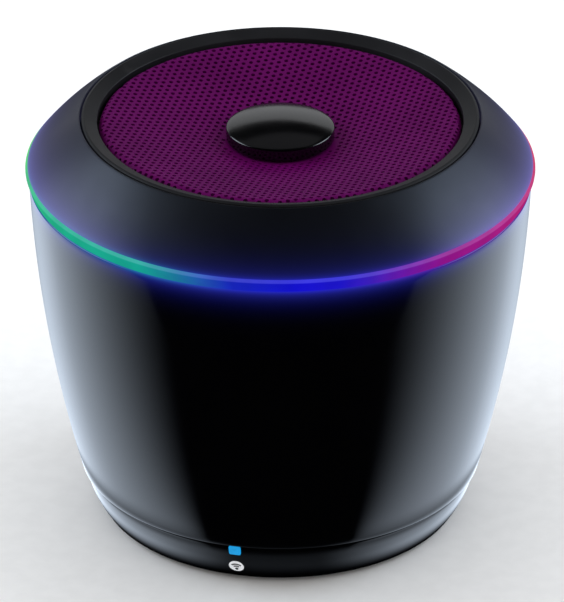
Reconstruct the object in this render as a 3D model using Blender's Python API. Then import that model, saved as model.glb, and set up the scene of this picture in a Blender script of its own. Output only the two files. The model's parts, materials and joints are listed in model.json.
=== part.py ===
"""A portable Bluetooth speaker: a tapered cup-shaped case with a light ring just under its
widest edge, a dished grille on top with a domed cap, and a recessed control panel at the back.

Units are metres, +Z is up, and the origin is the centre of the foot ring's underside.
The front, with the status light, faces -Y and the control panel faces +Y.
"""

import math

import bmesh
import bpy
from mathutils import Matrix, Vector

MM = 0.001
GAP = 0.3 * MM  # between pieces that touch on the real object
CASE_STEPS = 40  # facets round the case
DRIVER_STEPS = 24  # facets round the loudspeaker driver
SMALL_STEPS = 10  # facets round screws, posts and holes

# ---------------------------------------------------------------- driving dimensions
WALL = 2.2 * MM

FOOT_PROUD = 0.6 * MM  # how far the rubber foot ring lifts the case
FOOT_RADIUS = 28.5 * MM  # middle of the foot ring, and of the case screws hidden under it
FOOT_WIDTH = 6.0 * MM

BASE_BOTTOM_RADIUS = 34.3 * MM
BASE_EDGE = (36.0 * MM, 1.9 * MM)
BASE_TOP = (39.0 * MM, 9.6 * MM)
BASE_BULGE = 0.45 * MM
BASE_FLOOR_Z = 3.4 * MM
SPIGOT_RADIUS = 37.0 * MM
SPIGOT_TOP_Z = 12.9 * MM

BODY_BOTTOM = (39.65 * MM, 9.9 * MM)
BODY_TOP = (49.2 * MM, 71.7 * MM)
BODY_BULGE = 1.7 * MM
LEDGE_RADIUS = 43.6 * MM
LEDGE_Z = 66.0 * MM

LIGHT_RADIUS = 50.0 * MM
LIGHT_LOWER_RADIUS = 49.2 * MM
LIGHT_INNER_RADIUS = 45.6 * MM
LIGHT_Z = (72.0 * MM, 74.2 * MM)

COLLAR_BOTTOM = (49.6 * MM, 74.5 * MM)
COLLAR_TOP = (39.15 * MM, 84.9 * MM)
COLLAR_BULGE = 0.5 * MM

BEZEL_RADIUS = 38.85 * MM
BEZEL_INNER_RADIUS = 35.75 * MM
BEZEL_TOP_Z = 85.0 * MM
BEZEL_INNER_Z = 84.0 * MM
BEZEL_LEDGE_Z = 81.6 * MM

GRILLE_RADIUS = 35.35 * MM
GRILLE_CREST = (34.3 * MM, 83.9 * MM)
GRILLE_AT_CAP = (10.7 * MM, 79.55 * MM)
GRILLE_HOLE = (3.4 * MM, 78.9 * MM)
GRILLE_SHEET = 0.8 * MM

CAP_RADIUS = 10.6 * MM
CAP_BOTTOM_Z = 79.9 * MM
CAP_EDGE_Z = 82.4 * MM
CAP_CROWN_Z = 84.0 * MM

BAFFLE_FLANGE_RADIUS = 46.4 * MM
BAFFLE_DRUM_RADIUS = 41.9 * MM
BAFFLE_TOP_Z = 73.3 * MM
DRIVER_CUTOUT_RADIUS = 30.1 * MM
DRIVER_SCREW_RADIUS = 34.2 * MM
DRIVER_FLANGE_Z = (74.6 * MM, 76.1 * MM)
MAIN_BOARD_Z = (16.0 * MM, 17.6 * MM)
MAIN_BOARD_X = 15.0 * MM
MAIN_BOARD_Y = (-24.0 * MM, 34.2 * MM)

PANEL_FLOOR_Y = (34.6 * MM, 36.6 * MM)
PANEL_WIDTH = 36.0 * MM
PANEL_Z = (13.6 * MM, 32.4 * MM)
PANEL_RIM = 1.4 * MM
PANEL_CORNER = 3.0 * MM
BUTTON_ROW_Z = 26.9 * MM
BUTTON_PITCH = 7.5 * MM
BUTTON_RADIUS = 2.5 * MM
PORT_ROW_Z = 19.8 * MM
SWITCH_ON_X = -8.0 * MM
SWITCH_TRAVEL = 3.0 * MM
SWITCH_STEM = 1.6 * MM
USB_SIZE = (7.6 * MM, 2.7 * MM)
USB_X = 10.0 * MM
USB_Z = MAIN_BOARD_Z[1] + GAP + USB_SIZE[1] / 2
AUX_NOSE = 2.8 * MM
AUX_Z = MAIN_BOARD_Z[1] + GAP + 2.5 * MM
STATUS_WINDOW = (2.3 * MM, (7.5 * MM, 9.55 * MM))  # width, and lowest and highest edge

BATTERY_RADIUS = 9.1 * MM
BATTERY_LENGTH = 65.0 * MM
BATTERY_AT = (0.0, -6.0 * MM, 32.7 * MM)

SCREW_SHANK = 1.4 * MM
SCREW_HOLE = SCREW_SHANK + GAP


# ---------------------------------------------------------------- making things
def material(name, colour, roughness, metallic=0.0, glow=0.0):
    made = bpy.data.materials.new(name)
    made.use_nodes = True
    shader = made.node_tree.nodes["Principled BSDF"]
    shader.inputs["Base Color"].default_value = (*colour, 1.0)
    shader.inputs["Roughness"].default_value = roughness
    shader.inputs["Metallic"].default_value = metallic
    shader.inputs["Emission Color"].default_value = (*colour, 1.0)
    shader.inputs["Emission Strength"].default_value = glow
    return made


def finish(name, mesh, paint, location=(0, 0, 0), parent=None):
    """Closes a bmesh off as a named object whose faces point out."""
    bmesh.ops.remove_doubles(mesh, verts=mesh.verts, dist=1e-7)
    bmesh.ops.recalc_face_normals(mesh, faces=mesh.faces)
    if mesh.calc_volume(signed=True) < 0:
        bmesh.ops.reverse_faces(mesh, faces=mesh.faces)
    data = bpy.data.meshes.new(name)
    mesh.to_mesh(data)
    mesh.free()
    data.shade_smooth()
    data.set_sharp_from_angle(angle=math.radians(35))
    made = bpy.data.objects.new(name, data)
    bpy.context.scene.collection.objects.link(made)
    made.location = location
    made.parent = parent
    if paint is None:
        made.hide_render = True
        made.display_type = "WIRE"
    else:
        data.materials.append(paint)
    return made


def turned(name, outline, paint, steps=CASE_STEPS, location=(0, 0, 0), along="Z", parent=None):
    """Spins a closed outline of (radius, height) points about the Z axis, or about +Y."""
    mesh = bmesh.new()
    points = [mesh.verts.new((radius, 0, height)) for radius, height in outline]
    edges = [mesh.edges.new((a, b)) for a, b in zip(points, points[1:] + points[:1])]
    bmesh.ops.spin(
        mesh,
        geom=points + edges,
        cent=(0, 0, 0),
        axis=(0, 0, 1),
        angle=math.tau,
        steps=steps,
        use_merge=True,
    )
    bmesh.ops.dissolve_degenerate(mesh, dist=1e-7, edges=mesh.edges)
    if along == "Y":
        bmesh.ops.rotate(mesh, verts=mesh.verts, matrix=Matrix.Rotation(-math.pi / 2, 3, "X"))
    return finish(name, mesh, paint, location, parent)


def rod(name, radius, span, paint, location=(0, 0, 0), steps=SMALL_STEPS, along="Z", parent=None):
    """A plain cylinder from span[0] to span[1]."""
    outline = [(0, span[0]), (radius, span[0]), (radius, span[1]), (0, span[1])]
    return turned(name, outline, paint, steps, location, along, parent)


def tube(name, inner, outer, span, paint, steps=DRIVER_STEPS, location=(0, 0, 0), parent=None):
    outline = [(inner, span[0]), (outer, span[0]), (outer, span[1]), (inner, span[1])]
    return turned(name, outline, paint, steps, location, "Z", parent)


def box(name, low, high, paint, bevel=0.0, location=(0, 0, 0), parent=None):
    mesh = bmesh.new()
    bmesh.ops.create_cube(mesh, size=1.0)
    size = Vector(high) - Vector(low)
    bmesh.ops.scale(mesh, vec=size, verts=mesh.verts)
    bmesh.ops.translate(mesh, vec=(Vector(high) + Vector(low)) / 2, verts=mesh.verts)
    if bevel:
        bmesh.ops.bevel(
            mesh, geom=mesh.edges, offset=bevel, segments=1, profile=0.5, affect="EDGES"
        )
    return finish(name, mesh, paint, location, parent)


def rounded_slab(name, width, z_span, y_span, corner, paint, middle_x=0.0):
    """A slab facing +Y with round corners: width along X, z_span tall and y_span thick."""
    middle_z = (z_span[0] + z_span[1]) / 2
    reach_x = width / 2 - corner
    reach_z = (z_span[1] - z_span[0]) / 2 - corner
    per_corner = 4
    mesh = bmesh.new()
    ring = []
    for quarter, (side_x, side_z) in enumerate(((1, 1), (-1, 1), (-1, -1), (1, -1))):
        for step in range(per_corner + 1):
            angle = math.tau * (quarter + step / per_corner) / 4
            x = middle_x + side_x * reach_x + corner * math.cos(angle)
            z = middle_z + side_z * reach_z + corner * math.sin(angle)
            ring.append(mesh.verts.new((x, y_span[0], z)))
    face = mesh.faces.new(ring)
    grown = bmesh.ops.extrude_face_region(mesh, geom=[face])
    moved = [v for v in grown["geom"] if isinstance(v, bmesh.types.BMVert)]
    bmesh.ops.translate(mesh, vec=(0, y_span[1] - y_span[0], 0), verts=moved)
    return finish(name, mesh, paint)


def boolean(target, tool, operation):
    modifier = target.modifiers.new(f"{operation.lower()} {tool.name}", "BOOLEAN")
    modifier.operation = operation
    modifier.solver = "EXACT"
    modifier.object = tool


def cut(target, *tools):
    for tool in tools:
        boolean(target, tool, "DIFFERENCE")


def join(target, *tools):
    for tool in tools:
        boolean(target, tool, "UNION")


def bowed(start, end, bulge, count):
    """Points on a shallow arc from start to end that swells by bulge to the right of its way."""
    start, end = Vector(start), Vector(end)
    across = (end - start).normalized()
    side = Vector((across.y, -across.x))
    points = []
    for step in range(count + 1):
        share = step / count
        points.append(tuple(start.lerp(end, share) + side * bulge * 4 * share * (1 - share)))
    return points


def polar(radius, degrees, z=0.0):
    angle = math.radians(degrees)
    return (radius * math.cos(angle), radius * math.sin(angle), z)


def lead(name, route, radius, paint):
    """A wire along a smooth curve through the points of its route, which are in millimetres."""
    through = [Vector(p) * MM for p in route]
    through = [2 * through[0] - through[1], *through, 2 * through[-1] - through[-2]]
    smooth = []
    per_span = 3
    for a, b, c, d in zip(through, through[1:], through[2:], through[3:]):
        for step in range(per_span):
            t = step / per_span
            smooth.append(
                0.5 * (2 * b + (c - a) * t + (2 * a - 5 * b + 4 * c - d) * t**2
                       + (3 * b - 3 * c + d - a) * t**3)
            )
    smooth.append(through[-2])
    data = bpy.data.curves.new(name, "CURVE")
    data.dimensions = "3D"
    data.bevel_depth = radius
    data.bevel_resolution = 1
    data.use_fill_caps = True
    spline = data.splines.new("POLY")
    spline.points.add(len(smooth) - 1)
    for point, place in zip(spline.points, smooth):
        point.co = (*place, 1.0)
    data.materials.append(paint)
    made = bpy.data.objects.new(name, data)
    bpy.context.scene.collection.objects.link(made)
    return made


def pivot(name, location):
    """An empty on a joint's axis, which the moving pieces hang from."""
    made = bpy.data.objects.new(name, None)
    bpy.context.scene.collection.objects.link(made)
    made.location = location
    return made


# ---------------------------------------------------------------- materials
def make_materials():
    return {
        "gloss": material("gloss_case", (0.008, 0.008, 0.010), 0.10),
        "satin": material("satin_collar", (0.035, 0.037, 0.045), 0.35),
        "matte": material("matte_bezel", (0.025, 0.025, 0.028), 0.55),
        "purple": material("purple_grille", (0.20, 0.008, 0.17), 0.45),
        "light": material("light_ring", (0.10, 0.15, 0.90), 0.30, glow=1.0),
        "status": material("status_light", (0.02, 0.40, 0.90), 0.30, glow=1.0),
        "inner": material("inner_plastic", (0.05, 0.05, 0.055), 0.50),
        "rubber": material("foot_rubber", (0.02, 0.02, 0.02), 0.85),
        "steel": material("steel", (0.45, 0.45, 0.46), 0.30, 1.0),
        "black_steel": material("black_steel", (0.03, 0.03, 0.032), 0.40, 1.0),
        "ferrite": material("ferrite", (0.045, 0.043, 0.042), 0.70),
        "paper": material("cone_paper", (0.03, 0.03, 0.032), 0.80),
        "copper": material("coil_copper", (0.60, 0.23, 0.10), 0.30, 1.0),
        "spider": material("spider_cloth", (0.50, 0.33, 0.10), 0.85),
        "foam": material("foam", (0.03, 0.03, 0.03), 0.95),
        "board": material("board_green", (0.01, 0.10, 0.04), 0.40),
        "switch": material("switch_black", (0.02, 0.02, 0.02), 0.45),
        "led": material("led_package", (0.85, 0.83, 0.75), 0.40),
        "cell": material("battery_wrap", (0.03, 0.18, 0.55), 0.35),
        "wire": material("wire_red", (0.45, 0.02, 0.02), 0.45),
        "flex": material("led_flex", (0.75, 0.75, 0.72), 0.45),
    }


# ---------------------------------------------------------------- case
def body_outline():
    return bowed(BODY_BOTTOM, BODY_TOP, BODY_BULGE, 7)


def case_screw_places():
    return [polar(FOOT_RADIUS, degrees) for degrees in (45, 135, 225, 315)]


def make_base(paints):
    foot_low = FOOT_RADIUS - FOOT_WIDTH / 2
    foot_high = FOOT_RADIUS + FOOT_WIDTH / 2
    groove_top = 1.9 * MM
    outline = [
        (0, FOOT_PROUD),
        (foot_low - GAP, FOOT_PROUD),
        (foot_low - GAP, groove_top),
        (foot_high + GAP, groove_top),
        (foot_high + GAP, FOOT_PROUD),
        (BASE_BOTTOM_RADIUS, FOOT_PROUD),
        (BASE_EDGE[0] - 0.4 * MM, BASE_EDGE[1] - 0.9 * MM),
        *bowed(BASE_EDGE, BASE_TOP, BASE_BULGE, 3),
        (SPIGOT_RADIUS, BASE_TOP[1]),
        (SPIGOT_RADIUS, SPIGOT_TOP_Z),
        (SPIGOT_RADIUS - 1.7 * MM, SPIGOT_TOP_Z),
        (SPIGOT_RADIUS - 1.9 * MM, 7.0 * MM),
        (SPIGOT_RADIUS - 4.2 * MM, BASE_FLOOR_Z),
        (0, BASE_FLOOR_Z),
    ]
    base = turned("base_cover", outline, paints["gloss"])
    into_floor = BASE_FLOOR_Z - 1.0 * MM
    for number, place in enumerate(case_screw_places()):
        boss = rod(f"base_boss_{number}", 4.6 * MM, (into_floor, 7.0 * MM), None, place)
        join(base, boss)
    for number, place in enumerate(board_post_places()):
        outline = [
            (0, into_floor),
            (2.5 * MM, into_floor),
            (2.5 * MM, MAIN_BOARD_Z[0] - GAP),
            (1.2 * MM, MAIN_BOARD_Z[0] - GAP),
            (1.2 * MM, MAIN_BOARD_Z[1] + 0.8 * MM),
            (0, MAIN_BOARD_Z[1] + 0.8 * MM),
        ]
        join(base, turned(f"board_post_{number}", outline, None, SMALL_STEPS, place))
    for number, place in enumerate(case_screw_places()):
        outline = [
            (0, -1.0 * MM),
            (3.1 * MM, -1.0 * MM),
            (3.1 * MM, 4.6 * MM),
            (SCREW_HOLE, 4.6 * MM),
            (SCREW_HOLE, 9.0 * MM),
            (0, 9.0 * MM),
        ]
        cut(base, turned(f"base_hole_{number}", outline, None, SMALL_STEPS, place))
    window = STATUS_WINDOW
    slot = box(
        "status_slot",
        (-window[0] / 2 - GAP, -45 * MM, window[1][0] - GAP),
        (window[0] / 2 + GAP, -30 * MM, BASE_TOP[1] + GAP),
        None,
    )
    cut(base, slot)

    foot = [
        (foot_low, 0.25 * MM),
        (foot_low + 0.25 * MM, 0),
        (foot_high - 0.25 * MM, 0),
        (foot_high, 0.25 * MM),
        (foot_high, groove_top - GAP),
        (foot_low, groove_top - GAP),
    ]
    turned("foot_ring", foot, paints["rubber"])


def make_body(paints):
    outer = body_outline()
    inner = [(radius - WALL, z) for radius, z in outer if z < 60 * MM]
    outline = [
        *outer[:-1],
        (BODY_TOP[0] - 0.03 * MM, BODY_TOP[1] - 0.5 * MM),
        (BODY_TOP[0] - 0.5 * MM, BODY_TOP[1]),
        (BODY_TOP[0] - WALL, BODY_TOP[1]),
        (BODY_TOP[0] - WALL - 0.2 * MM, LEDGE_Z),
        (LEDGE_RADIUS, LEDGE_Z),
        (LEDGE_RADIUS, LEDGE_Z - 1.5 * MM),
        (46.3 * MM, LEDGE_Z - 5.0 * MM),
        *reversed(inner),
    ]
    body = turned("body_shell", outline, paints["gloss"])
    post_top = 21.5 * MM
    for number, degrees in enumerate((45, 135, 225, 315)):
        place = polar(FOOT_RADIUS, degrees)
        post = rod(f"body_post_{number}", 3.6 * MM, (7.3 * MM, post_top), None, place)
        rib = box(
            f"body_rib_{number}",
            (30.5 * MM, -1.2 * MM, SPIGOT_TOP_Z + 0.5 * MM),
            (39.6 * MM, 1.2 * MM, post_top - 1.0 * MM),
            None,
        )
        rib.rotation_euler = (0, 0, math.radians(degrees))
        join(body, post, rib)
        cut(body, rod(f"post_hole_{number}", SCREW_HOLE, (6 * MM, 17.4 * MM), None, place))
    window = rounded_slab(
        "panel_window",
        PANEL_WIDTH + 2 * GAP,
        (PANEL_Z[0] - GAP, PANEL_Z[1] + GAP),
        (30 * MM, 60 * MM),
        PANEL_CORNER + GAP,
        None,
    )
    cut(body, window)


def make_light_ring(paints):
    low, high = LIGHT_Z
    outline = [
        (LIGHT_INNER_RADIUS, low),
        (LIGHT_LOWER_RADIUS - 0.3 * MM, low),
        (LIGHT_LOWER_RADIUS, low + 0.3 * MM),
        (LIGHT_RADIUS, high - 0.4 * MM),
        (LIGHT_RADIUS - 0.2 * MM, high),
        (LIGHT_INNER_RADIUS, high),
    ]
    turned("light_ring", outline, paints["light"])


def make_collar(paints):
    outline = [
        *bowed(COLLAR_BOTTOM, COLLAR_TOP, COLLAR_BULGE, 4),
        (COLLAR_TOP[0], COLLAR_TOP[1] - 2.5 * MM),
        (44.2 * MM, 78.7 * MM),
        (COLLAR_BOTTOM[0] - 2.3 * MM, COLLAR_BOTTOM[1]),
    ]
    turned("top_collar", outline, paints["satin"])


def make_bezel(paints):
    skirt = (BAFFLE_DRUM_RADIUS - 2.0 * MM, BAFFLE_DRUM_RADIUS - 0.2 * MM)
    skirt_bottom = 76.7 * MM
    outline = [
        (BEZEL_INNER_RADIUS, BEZEL_INNER_Z),
        (BEZEL_RADIUS - 0.6 * MM, BEZEL_TOP_Z),
        (BEZEL_RADIUS, BEZEL_TOP_Z - 0.3 * MM),
        (BEZEL_RADIUS, 81.0 * MM),
        (skirt[1], 79.2 * MM),
        (skirt[1], skirt_bottom),
        (skirt[0], skirt_bottom),
        (skirt[0], 78.6 * MM),
        (37.8 * MM, BEZEL_LEDGE_Z - 1.0 * MM),
        (33.4 * MM, BEZEL_LEDGE_Z - 1.0 * MM),
        (33.4 * MM, BEZEL_LEDGE_Z),
        (BEZEL_INNER_RADIUS, BEZEL_LEDGE_Z),
    ]
    turned("bezel_ring", outline, paints["matte"])


def make_grille(paints):
    dish = [GRILLE_CREST, (22.5 * MM, 81.6 * MM), GRILLE_AT_CAP, GRILLE_HOLE]
    rim_bottom = BEZEL_LEDGE_Z + GAP
    outline = [
        (GRILLE_RADIUS - GRILLE_SHEET, rim_bottom),
        (GRILLE_RADIUS, rim_bottom),
        (GRILLE_RADIUS, 83.1 * MM),
        (GRILLE_RADIUS - 0.4 * MM, 83.7 * MM),
        *dish,
        *[(radius, z - GRILLE_SHEET) for radius, z in reversed(dish[1:])],
        (34.0 * MM, 83.0 * MM),
        (GRILLE_RADIUS - GRILLE_SHEET, 82.7 * MM),
    ]
    turned("grille", outline, paints["purple"])


def make_cap(paints):
    stem = GRILLE_HOLE[0] - GAP
    dome_radius = CAP_RADIUS - 0.35 * MM
    drop = CAP_CROWN_Z - CAP_EDGE_Z
    dome = [(dome_radius * share, CAP_CROWN_Z - drop * share**2) for share in (0, 0.35, 0.7, 1)]
    outline = [
        (0, 76.4 * MM),
        (stem - 0.4 * MM, 76.4 * MM),
        (stem, 76.8 * MM),
        (stem, GRILLE_HOLE[1] + 0.4 * MM),
        (6.3 * MM, GRILLE_HOLE[1] + 0.5 * MM),
        (6.3 * MM, CAP_BOTTOM_Z),
        (CAP_RADIUS - 0.3 * MM, CAP_BOTTOM_Z),
        (CAP_RADIUS, CAP_BOTTOM_Z + 0.3 * MM),
        (CAP_RADIUS, CAP_EDGE_Z - 0.3 * MM),
        *reversed(dome),
    ]
    turned("center_cap", outline, paints["gloss"], 28)
    clip_top = GRILLE_HOLE[1] - GRILLE_SHEET - GAP
    tube(
        "cap_retaining_clip",
        stem + GAP,
        5.6 * MM,
        (clip_top - 0.6 * MM, clip_top),
        paints["steel"],
        16,
    )


def make_status_light(paints):
    """An acrylic bar that carries light from the board's edge to the window below the seam."""
    half = STATUS_WINDOW[0] / 2
    low, high = STATUS_WINDOW[1]
    pipe = box("status_light_pipe", (-half, -38.9 * MM, low), (half, -21 * MM, high), paints["status"])
    riser = box("status_riser", (-half, -22.6 * MM, low + 0.2 * MM), (half, -21 * MM, 15.6 * MM), None)
    join(pipe, riser)


# ---------------------------------------------------------------- rear panel, ports and keys
def button_places():
    """The keys in the order that someone facing the back reads them, from their left."""
    names = ("volume_down", "play", "volume_up", "light")
    return [(name, (1.5 - index) * BUTTON_PITCH) for index, name in enumerate(names)]


def make_panel(paints):
    back, front = PANEL_FLOOR_Y
    panel = rounded_slab(
        "rear_panel", PANEL_WIDTH, PANEL_Z, (back, 47 * MM), PANEL_CORNER, paints["matte"]
    )
    envelope = [(0, 5 * MM)]
    envelope += [(radius - 0.15 * MM, z) for radius, z in body_outline()]
    envelope[1] = (envelope[1][0], 5 * MM)
    envelope += [(0, BODY_TOP[1])]
    boolean(panel, turned("case_envelope", envelope, None, 80), "INTERSECT")
    pocket = rounded_slab(
        "panel_pocket",
        PANEL_WIDTH - 2 * PANEL_RIM,
        (PANEL_Z[0] + PANEL_RIM, PANEL_Z[1] - PANEL_RIM),
        (front, 60 * MM),
        PANEL_CORNER - PANEL_RIM,
        None,
    )
    cut(panel, pocket)
    for name, x in button_places():
        place = (x, 0, BUTTON_ROW_Z)
        hole = rod(f"{name}_hole", BUTTON_RADIUS + GAP, (30 * MM, 40 * MM), None, place, 16, "Y")
        cut(panel, hole)
    through = (30 * MM, 40 * MM)
    usb_hole = rounded_slab(
        "usb_hole",
        USB_SIZE[0] + 2 * GAP,
        (USB_Z - USB_SIZE[1] / 2 - GAP, USB_Z + USB_SIZE[1] / 2 + GAP),
        through,
        0.9 * MM,
        None,
        USB_X,
    )
    aux_hole = rod("aux_hole", AUX_NOSE + GAP, through, None, (0, 0, AUX_Z), 20, "Y")
    slot_half = SWITCH_TRAVEL / 2 + SWITCH_STEM / 2 + 0.35 * MM
    slot_middle = SWITCH_ON_X - SWITCH_TRAVEL / 2
    switch_slot = box(
        "switch_slot",
        (slot_middle - slot_half, through[0], PORT_ROW_Z - 0.85 * MM),
        (slot_middle + slot_half, through[1], PORT_ROW_Z + 0.85 * MM),
        None,
    )
    cut(panel, usb_hole, aux_hole, switch_slot)
    for side in (-1, 1):
        place = (side * 16.0 * MM, 0, BUTTON_ROW_Z)
        foot = rod(f"key_post_{side}", 1.3 * MM, (29.1 * MM, 35.2 * MM), None, place, 10, "Y")
        join(panel, foot)


def make_ports(paints):
    half, tall = USB_SIZE[0] / 2, USB_SIZE[1] / 2
    shell = 0.4 * MM
    usb = rounded_slab(
        "usb_port",
        USB_SIZE[0],
        (USB_Z - tall, USB_Z + tall),
        (30.8 * MM, 36.3 * MM),
        0.8 * MM,
        paints["steel"],
        USB_X,
    )
    mouth = rounded_slab(
        "usb_mouth",
        2 * (half - shell),
        (USB_Z - tall + shell, USB_Z + tall - shell),
        (31.6 * MM, 40 * MM),
        0.45 * MM,
        None,
        USB_X,
    )
    tongue = box(
        "usb_tongue",
        (USB_X - 1.9 * MM, 31.2 * MM, USB_Z + 0.05 * MM),
        (USB_X + 1.9 * MM, 35.6 * MM, USB_Z + 0.6 * MM),
        None,
    )
    cut(usb, mouth)
    join(usb, tongue)

    aux = box(
        "aux_jack",
        (-3.2 * MM, 22.9 * MM, AUX_Z - 2.5 * MM),
        (3.2 * MM, 34.2 * MM, AUX_Z + 2.5 * MM),
        paints["switch"],
    )
    nose = rod("aux_nose", AUX_NOSE, (33 * MM, 36.9 * MM), None, (0, 0, AUX_Z), 20, "Y")
    bore = rod("aux_bore", 1.8 * MM, (24.4 * MM, 40 * MM), None, (0, 0, AUX_Z), 16, "Y")
    join(aux, nose)
    cut(aux, bore)

    middle = SWITCH_ON_X - SWITCH_TRAVEL / 2
    housing = box(
        "slide_switch_body",
        (middle - 4.5 * MM, 29.8 * MM, MAIN_BOARD_Z[1] + GAP),
        (middle + 4.5 * MM, 33.9 * MM, PORT_ROW_Z + 1.9 * MM),
        paints["steel"],
    )
    track_half = SWITCH_TRAVEL / 2 + SWITCH_STEM / 2 + 0.35 * MM
    track = box(
        "switch_track",
        (middle - track_half, 31.4 * MM, PORT_ROW_Z - 0.85 * MM),
        (middle + track_half, 40 * MM, PORT_ROW_Z + 0.85 * MM),
        None,
    )
    cut(housing, track)

    axis = pivot("power_switch_axis", (SWITCH_ON_X, PANEL_FLOOR_Y[1], PORT_ROW_Z))
    knob = box(
        "power_switch_knob",
        (-1.7 * MM, GAP, -1.35 * MM),
        (1.7 * MM, 1.7 * MM, 1.35 * MM),
        paints["matte"],
        bevel=0.25 * MM,
        parent=axis,
    )
    stem = box(
        "switch_stem",
        (-SWITCH_STEM / 2, -4.6 * MM, -0.5 * MM),
        (SWITCH_STEM / 2, 0.6 * MM, 0.5 * MM),
        None,
        parent=axis,
    )
    join(knob, stem)


def make_keys(paints):
    """Four keys, each with the stem that presses its switch, and the board behind them."""
    board_y = (27.6 * MM, 28.8 * MM)
    box(
        "key_board",
        (-17.5 * MM, board_y[0], 23.4 * MM),
        (17.5 * MM, board_y[1], 31.2 * MM),
        paints["board"],
    )
    switch_y = (board_y[1] + GAP, 32.5 * MM)
    stem = 1.4 * MM
    flange_back = 33.5 * MM
    flange_front = PANEL_FLOOR_Y[0] - GAP
    face = PANEL_FLOOR_Y[1] + 1.3 * MM
    for name, x in button_places():
        switch = box(
            f"{name}_switch",
            (x - 3 * MM, switch_y[0], BUTTON_ROW_Z - 3 * MM),
            (x + 3 * MM, switch_y[1], BUTTON_ROW_Z + 3 * MM),
            paints["switch"],
        )
        well = rod(f"{name}_well", stem + GAP, (30.3 * MM, 34 * MM), None, (x, 0, BUTTON_ROW_Z), 10, "Y")
        cut(switch, well)
        axis = pivot(f"{name}_axis", (x, 0, BUTTON_ROW_Z))
        outline = [
            (0, 31.3 * MM),
            (stem, 31.3 * MM),
            (stem, flange_back),
            (BUTTON_RADIUS + 0.7 * MM, flange_back),
            (BUTTON_RADIUS + 0.7 * MM, flange_front),
            (BUTTON_RADIUS, flange_front),
            (BUTTON_RADIUS, face - 0.4 * MM),
            (BUTTON_RADIUS - 0.4 * MM, face),
            (0, face),
        ]
        turned(f"{name}_button", outline, paints["matte"], 16, along="Y", parent=axis)


# ---------------------------------------------------------------- electronics and battery
def board_post_places():
    return [(x * MM, y * MM, 0) for x in (-11, 11) for y in (-20, 18)]


def make_main_board(paints):
    board = box(
        "main_board",
        (-MAIN_BOARD_X, MAIN_BOARD_Y[0], MAIN_BOARD_Z[0]),
        (MAIN_BOARD_X, MAIN_BOARD_Y[1], MAIN_BOARD_Z[1]),
        paints["board"],
    )
    for number, place in enumerate(board_post_places()):
        cut(board, rod(f"board_hole_{number}", 1.5 * MM, (10 * MM, 20 * MM), None, place))
    low = MAIN_BOARD_Z[1] + GAP
    box(
        "bluetooth_module",
        (-9 * MM, -18 * MM, low),
        (9 * MM, -6 * MM, low + 2.2 * MM),
        paints["steel"],
        bevel=0.3 * MM,
    )


def make_battery(paints):
    half = BATTERY_LENGTH / 2
    tip = 0.8 * MM
    outline = [
        (0, -half),
        (BATTERY_RADIUS - 0.6 * MM, -half),
        (BATTERY_RADIUS, -half + 0.6 * MM),
        (BATTERY_RADIUS, half - tip - 0.6 * MM),
        (BATTERY_RADIUS - 0.6 * MM, half - tip),
        (3.0 * MM, half - tip),
        (3.0 * MM, half),
        (0, half),
    ]
    cell = turned("battery_cell", outline, paints["cell"], 20, BATTERY_AT)
    cell.rotation_euler = (0, math.pi / 2, 0)

    x, y, z = BATTERY_AT
    plate = (21.8 * MM, 23.3 * MM)
    cradle = box(
        "battery_cradle",
        (-24 * MM, -24 * MM, plate[0]),
        (24 * MM, 21 * MM, plate[1]),
        paints["inner"],
    )
    runner = box(
        "cradle_runner",
        (-35 * MM, y - 9 * MM, plate[0] + 0.1 * MM),
        (35 * MM, y + 9 * MM, plate[1] - 0.1 * MM),
        None,
    )
    join(cradle, runner)
    for side in (-1, 1):
        saddle_x = side * 20 * MM
        saddle = box(
            f"cradle_saddle_{side}",
            (saddle_x - 1.5 * MM, y - 11.5 * MM, plate[0] + 0.3 * MM),
            (saddle_x + 1.5 * MM, y + 11.5 * MM, z + 4 * MM),
            None,
        )
        stop = box(
            f"cradle_stop_{side}",
            (side * 34 * MM - 1.0 * MM, y - 8 * MM, plate[0] + 0.3 * MM),
            (side * 34 * MM + 1.0 * MM, y + 8 * MM, z - 3 * MM),
            None,
        )
        join(cradle, saddle, stop)
    bay = rod("cradle_bay", BATTERY_RADIUS + GAP, (-33 * MM, 33 * MM), None, BATTERY_AT, 24)
    bay.rotation_euler = (0, math.pi / 2, 0)
    cut(cradle, bay)


def make_leads(paints):
    wire = 0.6 * MM
    lead(
        "speaker_lead",
        [(-12, -16.5, 18.7), (-13.5, -21, 19.4), (-12.5, -27, 21), (-10, -32, 28), (-8, -34, 42),
         (-5, -32.5, 54), (-2.6, -30.6, 60), (-2.5, -29.8, 63.4)],
        wire,
        paints["wire"],
    )
    lead(
        "battery_lead",
        [(-33.2, -6, 37.6), (-36.5, -4.5, 36), (-38, 2, 29), (-34.5, 7, 22.5), (-28, 9, 19.4),
         (-20, 8.6, 19.2), (-12.5, 8, 18.8)],
        wire,
        paints["wire"],
    )
    lead(
        "led_cable",
        [polar(42.5, 215, 71.0), polar(42.5, 215, 68.5), polar(42.4, 215, 63), polar(40.5, 215, 50),
         polar(38.8, 214, 36), polar(36.2, 212, 26), (-26, -14, 19.8), (-18, -12.3, 19.0),
         (-12, -12, 18.7)],
        wire,
        paints["flex"],
    )
    lead(
        "key_cable",
        [(13.5, 26.5, 27), (13.5, 25.2, 24.6), (13.3, 24.6, 21.5), (13, 24.8, 18.7)],
        wire,
        paints["flex"],
    )


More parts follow.
